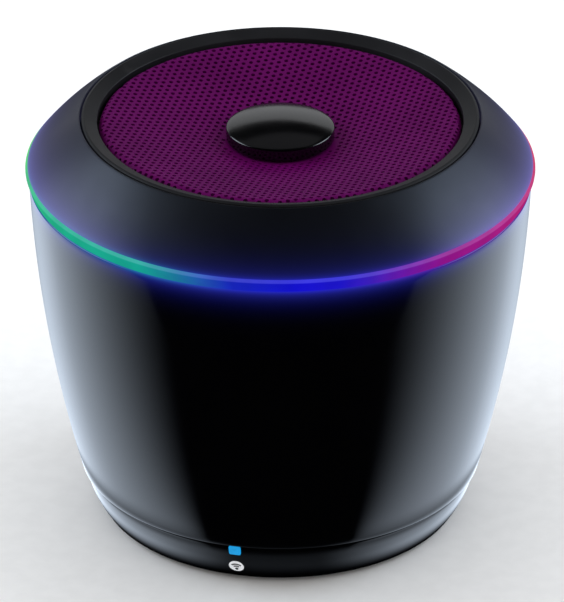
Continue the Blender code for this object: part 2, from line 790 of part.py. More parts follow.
# ---------------------------------------------------------------- lights
def make_lights(paints):
    strip = (BAFFLE_DRUM_RADIUS + GAP, BAFFLE_DRUM_RADIUS + 0.8 * MM)
    tube("led_strip", strip[0], strip[1], (71.4 * MM, 75.8 * MM), paints["flex"], 32)
    middle_z = (LIGHT_Z[0] + LIGHT_Z[1]) / 2
    half = 1.75 * MM
    for number in range(6):
        led = box(
            f"light_led_{number + 1}",
            (strip[1] + GAP, -half, -half),
            (strip[1] + GAP + 1.4 * MM, half, half),
            paints["led"],
            location=(0, 0, middle_z),
        )
        led.rotation_euler = (0, 0, math.tau * (number + 0.5) / 6)


# ---------------------------------------------------------------- loudspeaker
def driver_screw_places():
    return [polar(DRIVER_SCREW_RADIUS, degrees) for degrees in (45, 135, 225, 315)]


def make_baffle(paints):
    drum = (BAFFLE_DRUM_RADIUS - 2.0 * MM, BAFFLE_DRUM_RADIUS)
    flange = (LEDGE_Z + GAP, LEDGE_Z + 2.6 * MM)
    plate_bottom = BAFFLE_TOP_Z - 2.5 * MM
    outline = [
        (DRIVER_CUTOUT_RADIUS, plate_bottom),
        (drum[0], plate_bottom),
        (drum[0], flange[0]),
        (BAFFLE_FLANGE_RADIUS, flange[0]),
        (BAFFLE_FLANGE_RADIUS, flange[1]),
        (drum[1], flange[1]),
        (drum[1], 76.4 * MM),
        (drum[0], 76.4 * MM),
        (drum[0], BAFFLE_TOP_Z),
        (DRIVER_CUTOUT_RADIUS, BAFFLE_TOP_Z),
    ]
    baffle = turned("driver_baffle", outline, paints["inner"], 36)
    for number, place in enumerate(driver_screw_places()):
        boss = rod(f"baffle_boss_{number}", 3.2 * MM, (66.6 * MM, BAFFLE_TOP_Z - 0.2 * MM), None, place)
        hole = rod(f"baffle_hole_{number}", SCREW_HOLE, (67.4 * MM, 80 * MM), None, place)
        join(baffle, boss)
        cut(baffle, hole)
    notch = box("cable_notch", (41.0 * MM, -1.4 * MM, 60 * MM), (43.5 * MM, 1.4 * MM, 70.5 * MM), None)
    notch.rotation_euler = (0, 0, math.radians(215))
    notch.location = polar(0.55 * MM, 215)
    cut(baffle, notch)


def make_basket(paints):
    low, high = DRIVER_FLANGE_Z
    outline = [
        (12.2 * MM, 58.7 * MM),
        (22.6 * MM, 58.7 * MM),
        (24.2 * MM, 62.0 * MM),
        (29.4 * MM, low),
        (33.2 * MM, low),
        (33.2 * MM, high),
        (28.2 * MM, high),
        (22.7 * MM, 63.2 * MM),
        (20.4 * MM, 63.2 * MM),
        (20.4 * MM, 60.2 * MM),
        (12.2 * MM, 60.2 * MM),
    ]
    basket = turned("driver_basket", outline, paints["black_steel"], DRIVER_STEPS)
    for number, place in enumerate(driver_screw_places()):
        ear = rod(f"basket_ear_{number}", 3.2 * MM, (low + 0.05 * MM, high - 0.05 * MM), None, place)
        hole = rod(f"ear_hole_{number}", SCREW_HOLE, (70 * MM, 80 * MM), None, place)
        join(basket, ear)
        cut(basket, hole)
    for number in range(4):
        window = box(
            f"basket_window_{number}",
            (21.0 * MM, -8 * MM, 64.6 * MM),
            (32.0 * MM, 8 * MM, 71.6 * MM),
            None,
        )
        window.rotation_euler = (0, 0, math.radians(90 * number + 45))
        cut(basket, window)
    tube("driver_gasket", 30.3 * MM, 32.4 * MM, (BAFFLE_TOP_Z + GAP, low - GAP), paints["foam"])
    strip = box(
        "driver_terminals",
        (-6 * MM, -28.6 * MM, 62.6 * MM),
        (6 * MM, -27.3 * MM, 67.6 * MM),
        paints["spider"],
    )
    for side in (-1, 1):
        tab = box(
            f"terminal_tab_{side}",
            (side * 3.6 * MM - 1 * MM, -28.3 * MM, 58.8 * MM),
            (side * 3.6 * MM + 1 * MM, -27.7 * MM, 63.2 * MM),
            None,
        )
        join(strip, tab)


def make_motor(paints):
    pole = 9.0 * MM
    tube("driver_top_plate", 10.9 * MM, 21.0 * MM, (54.9 * MM, 58.4 * MM), paints["steel"])
    tube("driver_magnet", 12.5 * MM, 24.0 * MM, (46.9 * MM, 54.6 * MM), paints["ferrite"])
    outline = [
        (0, 43.1 * MM),
        (21.0 * MM, 43.1 * MM),
        (21.5 * MM, 43.6 * MM),
        (21.5 * MM, 46.6 * MM),
        (pole, 46.6 * MM),
        (pole, 58.4 * MM),
        (0, 58.4 * MM),
    ]
    turned("driver_yoke", outline, paints["steel"], DRIVER_STEPS)


def make_diaphragm(paints):
    """The pieces that move with the coil, then the two that flex to let them."""
    axis = pivot("cone_axis", (0, 0, 0))
    neck = (10.0 * MM, 65.0 * MM)
    edge = (24.8 * MM, 74.2 * MM)
    thick = 0.9 * MM
    cone = [
        neck,
        *bowed(neck, edge, 0.5 * MM, 3)[1:],
        (edge[0], edge[1] + thick),
        *reversed([(r, z + thick) for r, z in bowed(neck, edge, 0.5 * MM, 3)[:-1]]),
    ]
    turned("driver_cone", cone, paints["paper"], DRIVER_STEPS, parent=axis)
    dome = bowed((12.3 * MM, 68.3 * MM), (0, 71.8 * MM), 0.9 * MM, 4)
    dust = [*dome, *[(r, z - 0.5 * MM) for r, z in reversed(dome[1:])], (11.7 * MM, 68.0 * MM)]
    turned("dust_cap", dust, paints["paper"], DRIVER_STEPS, parent=axis)
    tube("voice_coil_former", 9.4 * MM, 9.7 * MM, (52.0 * MM, 66.5 * MM), paints["spider"], parent=axis)
    tube("voice_coil_winding", 9.95 * MM, 10.5 * MM, (53.5 * MM, 59.5 * MM), paints["copper"], parent=axis)

    sheet = 0.5 * MM
    roll_middle, roll_radius, roll_height = 27.0 * MM, 1.9 * MM, 1.9 * MM
    roll = []
    for step in range(5):
        angle = math.pi * (1 - step / 4)
        sink = 1.0 * MM * (1 - step / 4)
        roll.append((roll_middle + roll_radius * math.cos(angle),
                     76.4 * MM - sink + roll_height * math.sin(angle)))
    top = [(23.4 * MM, 75.4 * MM), *roll, (31.6 * MM, 76.4 * MM)]
    surround = [*top, *[(r, z + sheet) for r, z in reversed(top)]]
    turned("driver_surround", surround, paints["rubber"], DRIVER_STEPS)

    ripple = []
    count = 9
    for step in range(count + 1):
        share = step / count
        radius = 10.2 * MM + share * 10.3 * MM
        rise = 61.6 * MM + 1.9 * MM * share
        wave = 0.7 * MM * math.sin(math.pi * share) * math.sin(share * 6 * math.pi)
        ripple.append((radius, rise + wave))
    ripple.append((22.3 * MM, 63.5 * MM))
    spider = [*ripple, *[(r, z + sheet) for r, z in reversed(ripple)]]
    turned("driver_spider", spider, paints["spider"], 20)


def make_screws(paints):
    """Case screws come up through the base under the foot ring, driver screws go down."""
    head, tall, recess = 2.6 * MM, 1.7 * MM, 1.0 * MM

    def screw(name, place, length, point_up):
        sign = 1 if point_up else -1
        outline = [
            (0, sign * (recess - tall)),
            (1.1 * MM, sign * (0.3 * MM - tall)),
            (1.3 * MM, -sign * tall),
            (head - 0.4 * MM, -sign * tall),
            (head, -sign * (tall - 0.5 * MM)),
            (head, 0),
            (SCREW_SHANK, 0),
            (SCREW_SHANK, sign * (length - 1 * MM)),
            (0, sign * length),
        ]
        turned(name, outline, paints["steel"], SMALL_STEPS, place)

    for number, (x, y, _) in enumerate(case_screw_places()):
        screw(f"case_screw_{number + 1}", (x, y, 4.3 * MM), 12.0 * MM, True)
    for number, (x, y, _) in enumerate(driver_screw_places()):
        screw(f"driver_screw_{number + 1}", (x, y, DRIVER_FLANGE_Z[1] + GAP), 8.0 * MM, False)


def main():
    for leftover in list(bpy.data.objects):
        bpy.data.objects.remove(leftover)
    paints = make_materials()
    for make in (
        make_base,
        make_body,
        make_light_ring,
        make_collar,
        make_bezel,
        make_grille,
        make_cap,
        make_status_light,
        make_panel,
        make_ports,
        make_keys,
        make_main_board,
        make_battery,
        make_leads,
        make_lights,
        make_baffle,
        make_basket,
        make_motor,
        make_diaphragm,
        make_screws,
    ):
        make(paints)


main()
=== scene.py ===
"""Looks of the portable speaker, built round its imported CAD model. Lengths are metres."""

import json
import math

import bmesh
import bpy
from mathutils import Matrix, Vector
from mathutils.geometry import delaunay_2d_cdt


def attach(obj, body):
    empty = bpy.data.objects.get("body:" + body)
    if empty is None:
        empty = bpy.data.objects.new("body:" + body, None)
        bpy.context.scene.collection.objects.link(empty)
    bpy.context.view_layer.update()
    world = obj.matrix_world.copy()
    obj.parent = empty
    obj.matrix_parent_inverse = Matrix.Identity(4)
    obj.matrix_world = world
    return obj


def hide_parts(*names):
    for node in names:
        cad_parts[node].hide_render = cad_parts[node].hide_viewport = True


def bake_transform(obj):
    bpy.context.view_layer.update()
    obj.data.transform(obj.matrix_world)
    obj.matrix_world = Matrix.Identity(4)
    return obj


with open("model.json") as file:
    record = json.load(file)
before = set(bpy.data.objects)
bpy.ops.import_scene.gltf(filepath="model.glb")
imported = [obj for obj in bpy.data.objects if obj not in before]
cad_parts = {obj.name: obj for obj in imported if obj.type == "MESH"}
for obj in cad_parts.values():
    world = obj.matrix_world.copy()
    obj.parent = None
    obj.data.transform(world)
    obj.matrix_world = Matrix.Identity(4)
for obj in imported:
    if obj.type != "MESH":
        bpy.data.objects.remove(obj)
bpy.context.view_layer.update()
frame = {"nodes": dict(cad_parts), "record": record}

MM = 0.001
ROOT = "speaker"
STEPS = 192
SHARP = 32.0


# ---------------------------------------------------------------- shader helpers
class Nodes:
    """Short ways to add and join the nodes of one shader tree."""

    def __init__(self, tree):
        self.tree = tree

    def node(self, kind, **values):
        made = self.tree.nodes.new(kind)
        for key, value in values.items():
            setattr(made, key, value)
        return made

    def link(self, source, target):
        self.tree.links.new(source, target)

    def value(self, socket, given):
        if isinstance(given, bpy.types.NodeSocket):
            self.link(given, socket)
        else:
            socket.default_value = given

    def math(self, operation, a, b=0.0):
        made = self.node("ShaderNodeMath", operation=operation)
        self.value(made.inputs[0], a)
        self.value(made.inputs[1], b)
        return made.outputs[0]

    def times(self, a, b):
        return self.math("MULTIPLY", a, b)

    def plus(self, a, b):
        return self.math("ADD", a, b)

    def along(self, direction, x, y):
        """How far the point (x, y) lies along a level direction."""
        return self.plus(self.times(x, direction[0]), self.times(y, direction[1]))

    def spread(self, source, low, high, to_low=0.0, to_high=1.0, smooth=True):
        """Maps the span from low to high onto another span."""
        made = self.node("ShaderNodeMapRange")
        made.interpolation_type = "SMOOTHSTEP" if smooth else "LINEAR"
        self.value(made.inputs["Value"], source)
        made.inputs["From Min"].default_value = low
        made.inputs["From Max"].default_value = high
        made.inputs["To Min"].default_value = to_low
        made.inputs["To Max"].default_value = to_high
        return made.outputs["Result"]


class Paint(Nodes):
    """A Principled material with the nodes that feed it, in row coordinates."""

    def __init__(self, name, roughness=0.5, metallic=0.0, specular=0.5, coat=0.0):
        self.material = bpy.data.materials.new(name)
        self.material.use_nodes = True
        super().__init__(self.material.node_tree)
        self.shader = self.tree.nodes["Principled BSDF"]
        self.shader.inputs["Roughness"].default_value = roughness
        self.shader.inputs["Metallic"].default_value = metallic
        self.shader.inputs["Specular IOR Level"].default_value = specular
        self.shader.inputs["Coat Weight"].default_value = coat
        self.place = self.node("ShaderNodeTexCoord").outputs["Object"]

    def feed(self, name, source):
        self.link(source, self.shader.inputs[name])

    def noise(self, size, detail=3.0, stretch=(1, 1, 1), rough=0.55):
        """Noise whose blotches are about size metres across."""
        mapping = self.node("ShaderNodeMapping")
        mapping.inputs["Scale"].default_value = [s / size for s in stretch]
        self.link(self.place, mapping.inputs["Vector"])
        made = self.node("ShaderNodeTexNoise")
        made.inputs["Scale"].default_value = 1.0
        made.inputs["Detail"].default_value = detail
        made.inputs["Roughness"].default_value = rough
        self.link(mapping.outputs["Vector"], made.inputs["Vector"])
        return made.outputs["Fac"]

    def mix(self, factor, a, b, blend="MIX"):
        made = self.node("ShaderNodeMix", data_type="RGBA", blend_type=blend)
        self.value(made.inputs["Factor"], factor)
        colours = {socket.name: socket for socket in made.inputs if socket.type == "RGBA"}
        for name, given in (("A", a), ("B", b)):
            if isinstance(given, (tuple, list)):
                given = (*given, 1.0)
            self.value(colours[name], given)
        return next(socket for socket in made.outputs if socket.type == "RGBA")

    def bump(self, *layers):
        """Stacks (height, strength, depth in metres) layers and feeds the shader's normal."""
        normal = None
        for height, strength, depth in layers:
            made = self.node("ShaderNodeBump")
            made.inputs["Strength"].default_value = strength
            made.inputs["Distance"].default_value = depth
            self.link(height, made.inputs["Height"])
            if normal is not None:
                self.link(normal, made.inputs["Normal"])
            normal = made.outputs["Normal"]
        self.feed("Normal", normal)

    def axis(self, which):
        """The X, Y or Z of the point being shaded."""
        made = self.node("ShaderNodeSeparateXYZ")
        self.link(self.place, made.inputs[0])
        return made.outputs[which]


SLOW_PATCH = 18 * MM
WORN_PATCH = 3 * MM


def plain(name, colour, roughness, grain=0.00018, depth=0.00001, metallic=0.0, vary=0.12,
          wear=0.25, specular=0.5, stretch=(1, 1, 1), coat=0.0):
    """A moulded or pressed surface: fine grain, slow colour change, and worn, brighter edges."""
    paint = Paint(name, roughness, metallic, specular, coat)
    slow = paint.noise(SLOW_PATCH, 4.0)
    fine = paint.noise(grain, 2.0, stretch)
    darker = tuple(c * (1 - vary) for c in colour)
    lighter = tuple(min(1.0, c * (1 + vary) + 0.002) for c in colour)
    shade = paint.mix(paint.spread(slow, 0.3, 0.7), darker, lighter)
    edge = paint.spread(paint.node("ShaderNodeNewGeometry").outputs["Pointiness"], 0.52, 0.60)
    rub = paint.times(edge, paint.spread(paint.noise(WORN_PATCH, 3.0), 0.4, 0.62))
    worn = tuple(min(1.0, c * 1.5 + 0.03) for c in colour)
    shade = paint.mix(paint.times(rub, wear), shade, worn)
    paint.feed("Base Color", shade)
    blotch = paint.spread(slow, 0.25, 0.75, roughness * 0.88, min(1.0, roughness * 1.12))
    paint.feed("Roughness", paint.math("SUBTRACT", blotch, paint.times(rub, 0.08)))
    paint.bump((fine, 0.5, depth))
    return paint.material


# ---------------------------------------------------------------- mesh helpers
def publish(name, mesh, material, sharp=SHARP):
    """Turns a bmesh into a scene object, faces out, smooth except along sharp edges."""
    bmesh.ops.recalc_face_normals(mesh, faces=mesh.faces)
    if mesh.calc_volume(signed=True) < 0:
        bmesh.ops.reverse_faces(mesh, faces=mesh.faces)
    data = bpy.data.meshes.new(name)
    mesh.to_mesh(data)
    mesh.free()
    data.shade_smooth()
    data.set_sharp_from_angle(angle=math.radians(sharp))
    made = bpy.data.objects.new(name, data)
    bpy.context.scene.collection.objects.link(made)
    if material is not None:
        data.materials.append(material)
    return made


def rounded(points, steps=5):
    """Replaces each (r, z, fillet) corner by an arc; points without a fillet stay as they are."""
    out = []
    count = len(points)
    for index, point in enumerate(points):
        if len(point) == 2 or point[2] <= 0:
            out.append((point[0], point[1]))
            continue
        here = Vector(point[:2])
        before = Vector(points[index - 1][:2]) - here
        after = Vector(points[(index + 1) % count][:2]) - here
        reach = min(before.length, after.length) * 0.49
        before.normalize()
        after.normalize()
        half = before.angle(after) / 2
        cut = min(point[2] / math.tan(half), reach)
        radius = cut * math.tan(half)
        centre = here + (before + after).normalized() * (radius / math.sin(half))
        start = here + before * cut - centre
        end = here + after * cut - centre
        turn = start.angle(end)
        for step in range(steps + 1):
            share = step / steps
            ray = (start * math.sin((1 - share) * turn) + end * math.sin(share * turn)) / math.sin(turn)
            out.append(tuple(centre + ray))
    return out


def bowed(start, end, bulge, count):
    """Points on a shallow parabola from start to end that swells to the right of its way."""
    start, end = Vector(start), Vector(end)
    across = (end - start).normalized()
    side = Vector((across.y, -across.x))
    shares = [step / count for step in range(count + 1)]
    return [tuple(start.lerp(end, t) + side * bulge * 4 * t * (1 - t)) for t in shares]


def lathe_mesh(outline, steps=STEPS, along="Z", centre=(0, 0, 0)):
    """A closed (r, z) outline turned about Z, or about +Y, through centre."""
    mesh = bmesh.new()
    rings = []
    for radius, height in outline:
        if radius < 1e-9:
            rings.append([mesh.verts.new((0, 0, height))] * steps)
            continue
        circle = [math.tau * step / steps for step in range(steps)]
        spots = [(radius * math.cos(turn), radius * math.sin(turn), height) for turn in circle]
        rings.append([mesh.verts.new(spot) for spot in spots])
    for low, high in zip(rings, rings[1:] + rings[:1]):
        for step in range(steps):
            ahead = (step + 1) % steps
            corners = [low[step], low[ahead], high[ahead], high[step]]
            unique = [v for i, v in enumerate(corners) if v not in corners[:i]]
            if len(unique) > 2:
                mesh.faces.new(unique)
    if along == "Y":
        bmesh.ops.rotate(mesh, verts=mesh.verts, matrix=Matrix.Rotation(-math.pi / 2, 3, "X"))
    bmesh.ops.translate(mesh, vec=centre, verts=mesh.verts)
    return mesh


def lathe(name, outline, material, steps=STEPS, along="Z", centre=(0, 0, 0), sharp=SHARP):
    return publish(name, lathe_mesh(outline, steps, along, centre), material, sharp)


def prism(mesh, outline, y_span):
    """Adds an (x, z) outline, drawn out along Y, to a bmesh."""
    ring = [mesh.verts.new((x, y_span[0], z)) for x, z in outline]
    face = mesh.faces.new(ring)
    grown = bmesh.ops.extrude_face_region(mesh, geom=[face])
    moved = [v for v in grown["geom"] if isinstance(v, bmesh.types.BMVert)]
    bmesh.ops.translate(mesh, vec=(0, y_span[1] - y_span[0], 0), verts=moved)
    return mesh


def slab_mesh(width, z_span, y_span, corner, middle_x=0.0, per_corner=10):
    """A slab with round corners that faces +Y."""
    middle_z = (z_span[0] + z_span[1]) / 2
    reach_x = width / 2 - corner
    reach_z = (z_span[1] - z_span[0]) / 2 - corner
    ring = []
    for quarter, (side_x, side_z) in enumerate(((1, 1), (-1, 1), (-1, -1), (1, -1))):
        for step in range(per_corner + 1):
            angle = math.tau * (quarter + step / per_corner) / 4
            x = middle_x + side_x * reach_x + corner * math.cos(angle)
            z = middle_z + side_z * reach_z + corner * math.sin(angle)
            ring.append((x, z))
    return prism(bmesh.new(), ring, y_span)


def rod_mesh(radius, y_span, x, z, steps=48):
    """A cylinder along Y."""
    outline = [(0, y_span[0]), (radius, y_span[0]), (radius, y_span[1]), (0, y_span[1])]
    return lathe_mesh(outline, steps, "Y", (x, 0, z))


def box_mesh(low, high):
    mesh = bmesh.new()
    bmesh.ops.create_cube(mesh, size=1.0)
    bmesh.ops.scale(mesh, vec=Vector(high) - Vector(low), verts=mesh.verts)
    bmesh.ops.translate(mesh, vec=(Vector(high) + Vector(low)) / 2, verts=mesh.verts)
    return mesh


def carve(target, mesh, operation="DIFFERENCE"):
    """Applies one exact boolean with a throwaway tool."""
    tool = publish("tool", mesh, None)
    modifier = target.modifiers.new("carve", "BOOLEAN")
    modifier.operation = operation
    modifier.solver = "EXACT"
    modifier.object = tool
    settle(target)
    bpy.data.objects.remove(tool)


def settle(target):
    """Makes a piece's modifiers part of its mesh."""
    graph = bpy.context.evaluated_depsgraph_get()
    data = bpy.data.meshes.new_from_object(target.evaluated_get(graph))
    target.modifiers.clear()
    target.data = data
    data.shade_smooth()
    data.set_sharp_from_angle(angle=math.radians(SHARP))


def piece(made, body, *nodes, slot=None):
    """Says which body a piece rides on and which CAD nodes it stands for."""
    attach(made, body)
    if nodes:
        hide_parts(*nodes)
    return made


# ---------------------------------------------------------------- camera, floor and lights
AZIMUTH = math.radians(13.3)
ELEVATION = math.radians(28.06)
DISTANCE = 1.5
LENS = 454.0
RIGHT = Vector((math.cos(AZIMUTH), math.sin(AZIMUTH), 0))
BACK = Vector((-math.sin(AZIMUTH), math.cos(AZIMUTH), 0))
UP = Vector((0, 0, 1))
AIM = RIGHT * 0.33 * MM + UP * 43.7 * MM
AWAY = UP * math.sin(ELEVATION) - BACK * math.cos(ELEVATION)

WORLD_COLOUR = (1.0, 0.985, 0.965)
WORLD_STRENGTH = 0.9
FLOOR_SIZE = 4.0
FLOOR_DROP = 0.02 * MM
FLOOR_SHADES = ((0.82, 0.82, 0.82), (0.85, 0.85, 0.85))
LIT_POINT = (0, 0, 45 * MM)

# Name, place to the right of, behind and above the object, size, power and colour.
LAMPS = (
    ("side_softbox", (-0.62, 0.16, 0.42), (0.50, 0.42), 2.6, (0.80, 0.89, 1.0)),
    ("side_softbox", (0.62, 0.16, 0.42), (0.50, 0.42), 2.6, (0.80, 0.89, 1.0)),
    ("back_panel", (0.0, 1.1, 0.33), (1.6, 0.64), 2.1, (0.95, 0.97, 1.0)),
    ("high_panel", (-0.1, 0.42, 0.80), (0.9, 0.40), 0.15, (0.93, 0.93, 1.0)),
)

FAN_MIDDLE = (0.110, 0.065)
FAN_SIZE = (0.220, 0.300)
FAN_HEIGHT = 1.2 * MM
FAN_POWER = 0.52
FAN_COLOUR = (0.74, 0.85, 1.0)
FAN_PIVOT = (0.016, -0.039)
FAN_OPENS = (-0.64, 0.56)
FAN_CLOSES = (1.54, 0.74)
FAN_SIDE_END = (0.215, 0.150)
FAN_BACK_END = (0.21, 0.13)
FAN_FOOT_END = (0.0415, 0.0485)
ARC_INNER = (0.0357, 0.0393)
ARC_OUTER = (0.0448, 0.0414)
ARC_TURN = (0.2, 0.85)
ARC_FRONT_LEVEL = 0.07


def add_camera():
    data = bpy.data.cameras.new("camera")
    data.lens = LENS
    data.sensor_width = 36.0
    data.clip_start = 0.01
    data.clip_end = 50.0
    made = bpy.data.objects.new("camera", data)
    bpy.context.scene.collection.objects.link(made)
    made.location = AIM + AWAY * DISTANCE
    made.rotation_euler = AWAY.to_track_quat("Z", "Y").to_euler()
    bpy.context.scene.camera = made


def add_light(name, place, size, power, colour):
    """A rectangular lamp that shines at the object."""
    data = bpy.data.lights.new(name, "AREA")
    data.shape = "RECTANGLE"
    data.size, data.size_y = size
    data.energy = power
    data.color = colour
    made = bpy.data.objects.new(name, data)
    bpy.context.scene.collection.objects.link(made)
    made.location = RIGHT * place[0] + BACK * place[1] + UP * place[2]
    made.rotation_euler = (made.location - Vector(LIT_POINT)).to_track_quat("Z", "Y").to_euler()
    return made


def add_floor():
    paint = Paint("pale_floor", 0.8, specular=0.1)
    speckle = paint.noise(0.004, 4.0)
    paint.feed("Base Color", paint.mix(paint.spread(speckle, 0.3, 0.7), *FLOOR_SHADES))
    paint.bump((speckle, 0.2, 0.00005))
    mesh = bmesh.new()
    bmesh.ops.create_grid(mesh, x_segments=1, y_segments=1, size=FLOOR_SIZE)
    floor = publish("floor", mesh, paint.material)
    floor.location = (0, 0, -FLOOR_DROP)
    floor.visible_glossy = False


def add_stage():
    """Floor and studio. Only the lamps show in glossy pieces, not the floor or the world."""
    add_floor()
    world = bpy.data.worlds.new("studio")
    bpy.context.scene.world = world
    world.use_nodes = True
    background = world.node_tree.nodes["Background"]
    background.inputs["Color"].default_value = (*WORLD_COLOUR, 1.0)
    background.inputs["Strength"].default_value = WORLD_STRENGTH
    world.cycles_visibility.glossy = False
    for lamp in LAMPS:
        add_light(*lamp)
    for side in (-1, 1):
        add_fan_light(side)


def add_fan_light(side):
    """A panel lying on the floor beside the object, facing up, with a soft painted shape.

    It is only seen in the glossy case. Most of it is a fan that opens from a point near the
    front of the case and gives the soft band up the case's side. A thin arc close to the
    foot gives the line of light along the base."""
    place = (side * FAN_MIDDLE[0], FAN_MIDDLE[1], FAN_HEIGHT)
    light = add_light("fan_panel", place, FAN_SIZE, FAN_POWER, FAN_COLOUR)
    light.rotation_euler = (math.pi, 0, AZIMUTH)
    light.data.use_nodes = True
    nodes = Nodes(light.data.node_tree)
    split = nodes.node("ShaderNodeSeparateXYZ")
    nodes.link(nodes.node("ShaderNodeNewGeometry").outputs["Position"], split.inputs[0])
    x, y = split.outputs[0], split.outputs[1]
    across = nodes.times(nodes.along(RIGHT, x, y), side)
    deep = nodes.along(BACK, x, y)
    reach = nodes.math("SQRT", nodes.plus(nodes.times(across, across), nodes.times(deep, deep)))
    turn = nodes.math("ARCTAN2", nodes.math("SUBTRACT", deep, FAN_PIVOT[1]),
                      nodes.math("SUBTRACT", across, FAN_PIVOT[0]))
    fan = nodes.times(nodes.spread(turn, *FAN_OPENS), nodes.spread(turn, *FAN_CLOSES))
    for source, span in ((across, FAN_SIDE_END), (deep, FAN_BACK_END), (reach, FAN_FOOT_END)):
        fan = nodes.times(fan, nodes.spread(source, *span))
    round_front = nodes.math("ARCTAN2", across, nodes.times(deep, -1.0))
    arc = nodes.spread(round_front, *ARC_TURN, ARC_FRONT_LEVEL, 1.0)
    for span in (ARC_INNER, ARC_OUTER):
        arc = nodes.times(arc, nodes.spread(reach, *span))
    nodes.link(nodes.plus(fan, arc), nodes.tree.nodes["Emission"].inputs["Strength"])


# ---------------------------------------------------------------- shared case shape
BODY = ((39.65 * MM, 9.9 * MM), (49.2 * MM, 71.7 * MM), 1.7 * MM)
COLLAR_EDGE = (49.6 * MM, 74.5 * MM)
COLLAR_TOP = (39.15 * MM, 84.9 * MM)
LIGHT_RADIUS = 50.0 * MM
LIGHT_LOWER_RADIUS = 49.2 * MM
LIGHT_TOP = 74.2 * MM
LIGHT_BOTTOM = 71.85 * MM

# Share of a turn from -X, and the colour of the light there.
RING_STOPS = (
    (0.000, (0.10, 0.62, 0.06)),
    (0.065, (0.03, 0.42, 0.17)),
    (0.120, (0.013, 0.41, 0.235)),
    (0.195, (0.007, 0.34, 0.265)),
    (0.222, (0.010, 0.16, 0.30)),
    (0.240, (0.014, 0.075, 0.41)),
    (0.256, (0.008, 0.018, 0.47)),
    (0.295, (0.006, 0.005, 0.60)),
    (0.325, (0.012, 0.007, 0.55)),
    (0.345, (0.045, 0.012, 0.45)),
    (0.365, (0.13, 0.008, 0.36)),
    (0.398, (0.27, 0.006, 0.235)),
    (0.454, (0.37, 0.012, 0.20)),
    (0.520, (0.46, 0.016, 0.10)),
    (0.600, (0.70, 0.03, 0.02)),
    (0.700, (0.80, 0.20, 0.01)),
    (0.820, (0.60, 0.50, 0.02)),
    (1.000, (0.10, 0.62, 0.06)),
)
# Painted glow from the ring: the blue of the glow on the case and collar, and the paler painted light
# on the collar's flanks.
PAINTED_GLOW_BLUE = (0.05, 0.06, 1.0)
PAINTED_FLANK_LIGHT = (0.46, 0.44, 1.0)
TOP_LINE = (0.035, 0.035, 0.07)
BLACK = (0, 0, 0)
# The ring's own colour painted close to it, and where the painted flank light lies and how fast it
# fades.
OWN_GLOW = (0.3, 0.3 * MM)
FLANK = (24 * MM, 47 * MM)
FLANK_FADE = 4.0 * MM


def ring_colour(paint):
    """The light's colour at each direction round the case."""
    turn = paint.math("ARCTAN2", paint.axis("Y"), paint.axis("X"))
    made = paint.node("ShaderNodeValToRGB")
    stops = made.color_ramp.elements
    for (position, colour), stop in zip((RING_STOPS[0], RING_STOPS[-1]), stops):
        stop.position = position
        stop.color = (*colour, 1.0)
    for position, colour in RING_STOPS[1:-1]:
        stops.new(position).color = (*colour, 1.0)
    paint.link(paint.spread(turn, -math.pi, math.pi, smooth=False), made.inputs["Fac"])
    return made.outputs["Color"]


def add_glow(paint, edge, upward, painted_glow_layers, flank_strength):
    """Painted light: emission on the surface next to the ring that stands in for the ring's light
    falling on it: a little of its own colour, and a blue painted glow.

    Edge is the height where the ring begins. Each painted glow layer is (strength, length of its fade).
    The flanks, to either side across the camera's view, also carry a wider, paler painted light."""
    side = 1.0 if upward else -1.0
    away = paint.times(paint.math("SUBTRACT", paint.axis("Z"), edge), side)
    away = paint.math("MAXIMUM", away, 0.0)

    def fade(strength, length):
        return paint.times(paint.math("EXPONENT", paint.math("DIVIDE", away, -length)), strength)

    # Blue painted glow, fading away from the ring's edge.
    haze = fade(*painted_glow_layers[0])
    for layer in painted_glow_layers[1:]:
        haze = paint.plus(haze, fade(*layer))
    # The ring's own colour, painted as emission right next to it.
    own = paint.mix(fade(*OWN_GLOW), BLACK, ring_colour(paint))
    glow = paint.mix(1.0, own, paint.mix(haze, BLACK, PAINTED_GLOW_BLUE), "ADD")
    # Paler painted light on the flanks, to either side across the camera's view.
    across = paint.along(RIGHT, paint.axis("X"), paint.axis("Y"))
    flank = paint.spread(paint.math("ABSOLUTE", across), *FLANK)
    pale = paint.times(flank, fade(flank_strength, FLANK_FADE))
    paint.feed("Emission Color", paint.mix(1.0, glow, paint.mix(pale, BLACK, PAINTED_FLANK_LIGHT), "ADD"))
    paint.shader.inputs["Emission Strength"].default_value = 1.0


def gloss_paint(name="gloss_black", lit=False, specular=0.4, dull=0.0):
    paint = Paint(name, 0.09, specular=specular)
    smudge = paint.noise(0.014, 5.0)
    haze = paint.noise(0.0016, 3.0)
    paint.feed("Base Color", paint.mix(smudge, (0.0003, 0.0003, 0.0005), (0.0007, 0.0007, 0.0010)))
    blotch = paint.plus(smudge, paint.times(haze, 0.3))
    paint.feed("Roughness", paint.spread(blotch, 0.4, 0.9, 0.07 + dull, 0.13 + dull))
    paint.bump((paint.noise(0.0022, 2.0), 0.12, 0.000012), (paint.noise(0.03, 1.0), 0.2, 0.00008))
    # With lit, the case below the ring gets the ring's light as painted glow (emission).
    if lit:
        add_glow(paint, BODY[1][1], False, ((0.28, 1.38 * MM),), 0.0)
    return paint.material


def collar_paint():
    paint = Paint("collar_satin_black", 0.42, specular=0.45)
    paint.shader.inputs["Specular Tint"].default_value = (0.72, 0.82, 1.0, 1.0)
    slow = paint.noise(0.02, 4.0)
    paint.feed("Base Color", paint.mix(slow, (0.0020, 0.0020, 0.0028), (0.0033, 0.0033, 0.0045)))
    paint.feed("Roughness", paint.spread(slow, 0.3, 0.7, 0.38, 0.46))
    paint.bump((paint.noise(0.00022, 2.0), 0.45, 0.000012))
    # Painted glow from the ring on the collar's lower edge, with paler painted light on its flanks.
    add_glow(paint, COLLAR_EDGE[1], True, ((0.13, 1.7 * MM), (0.10, 0.35 * MM)), 0.26)
    return paint.material


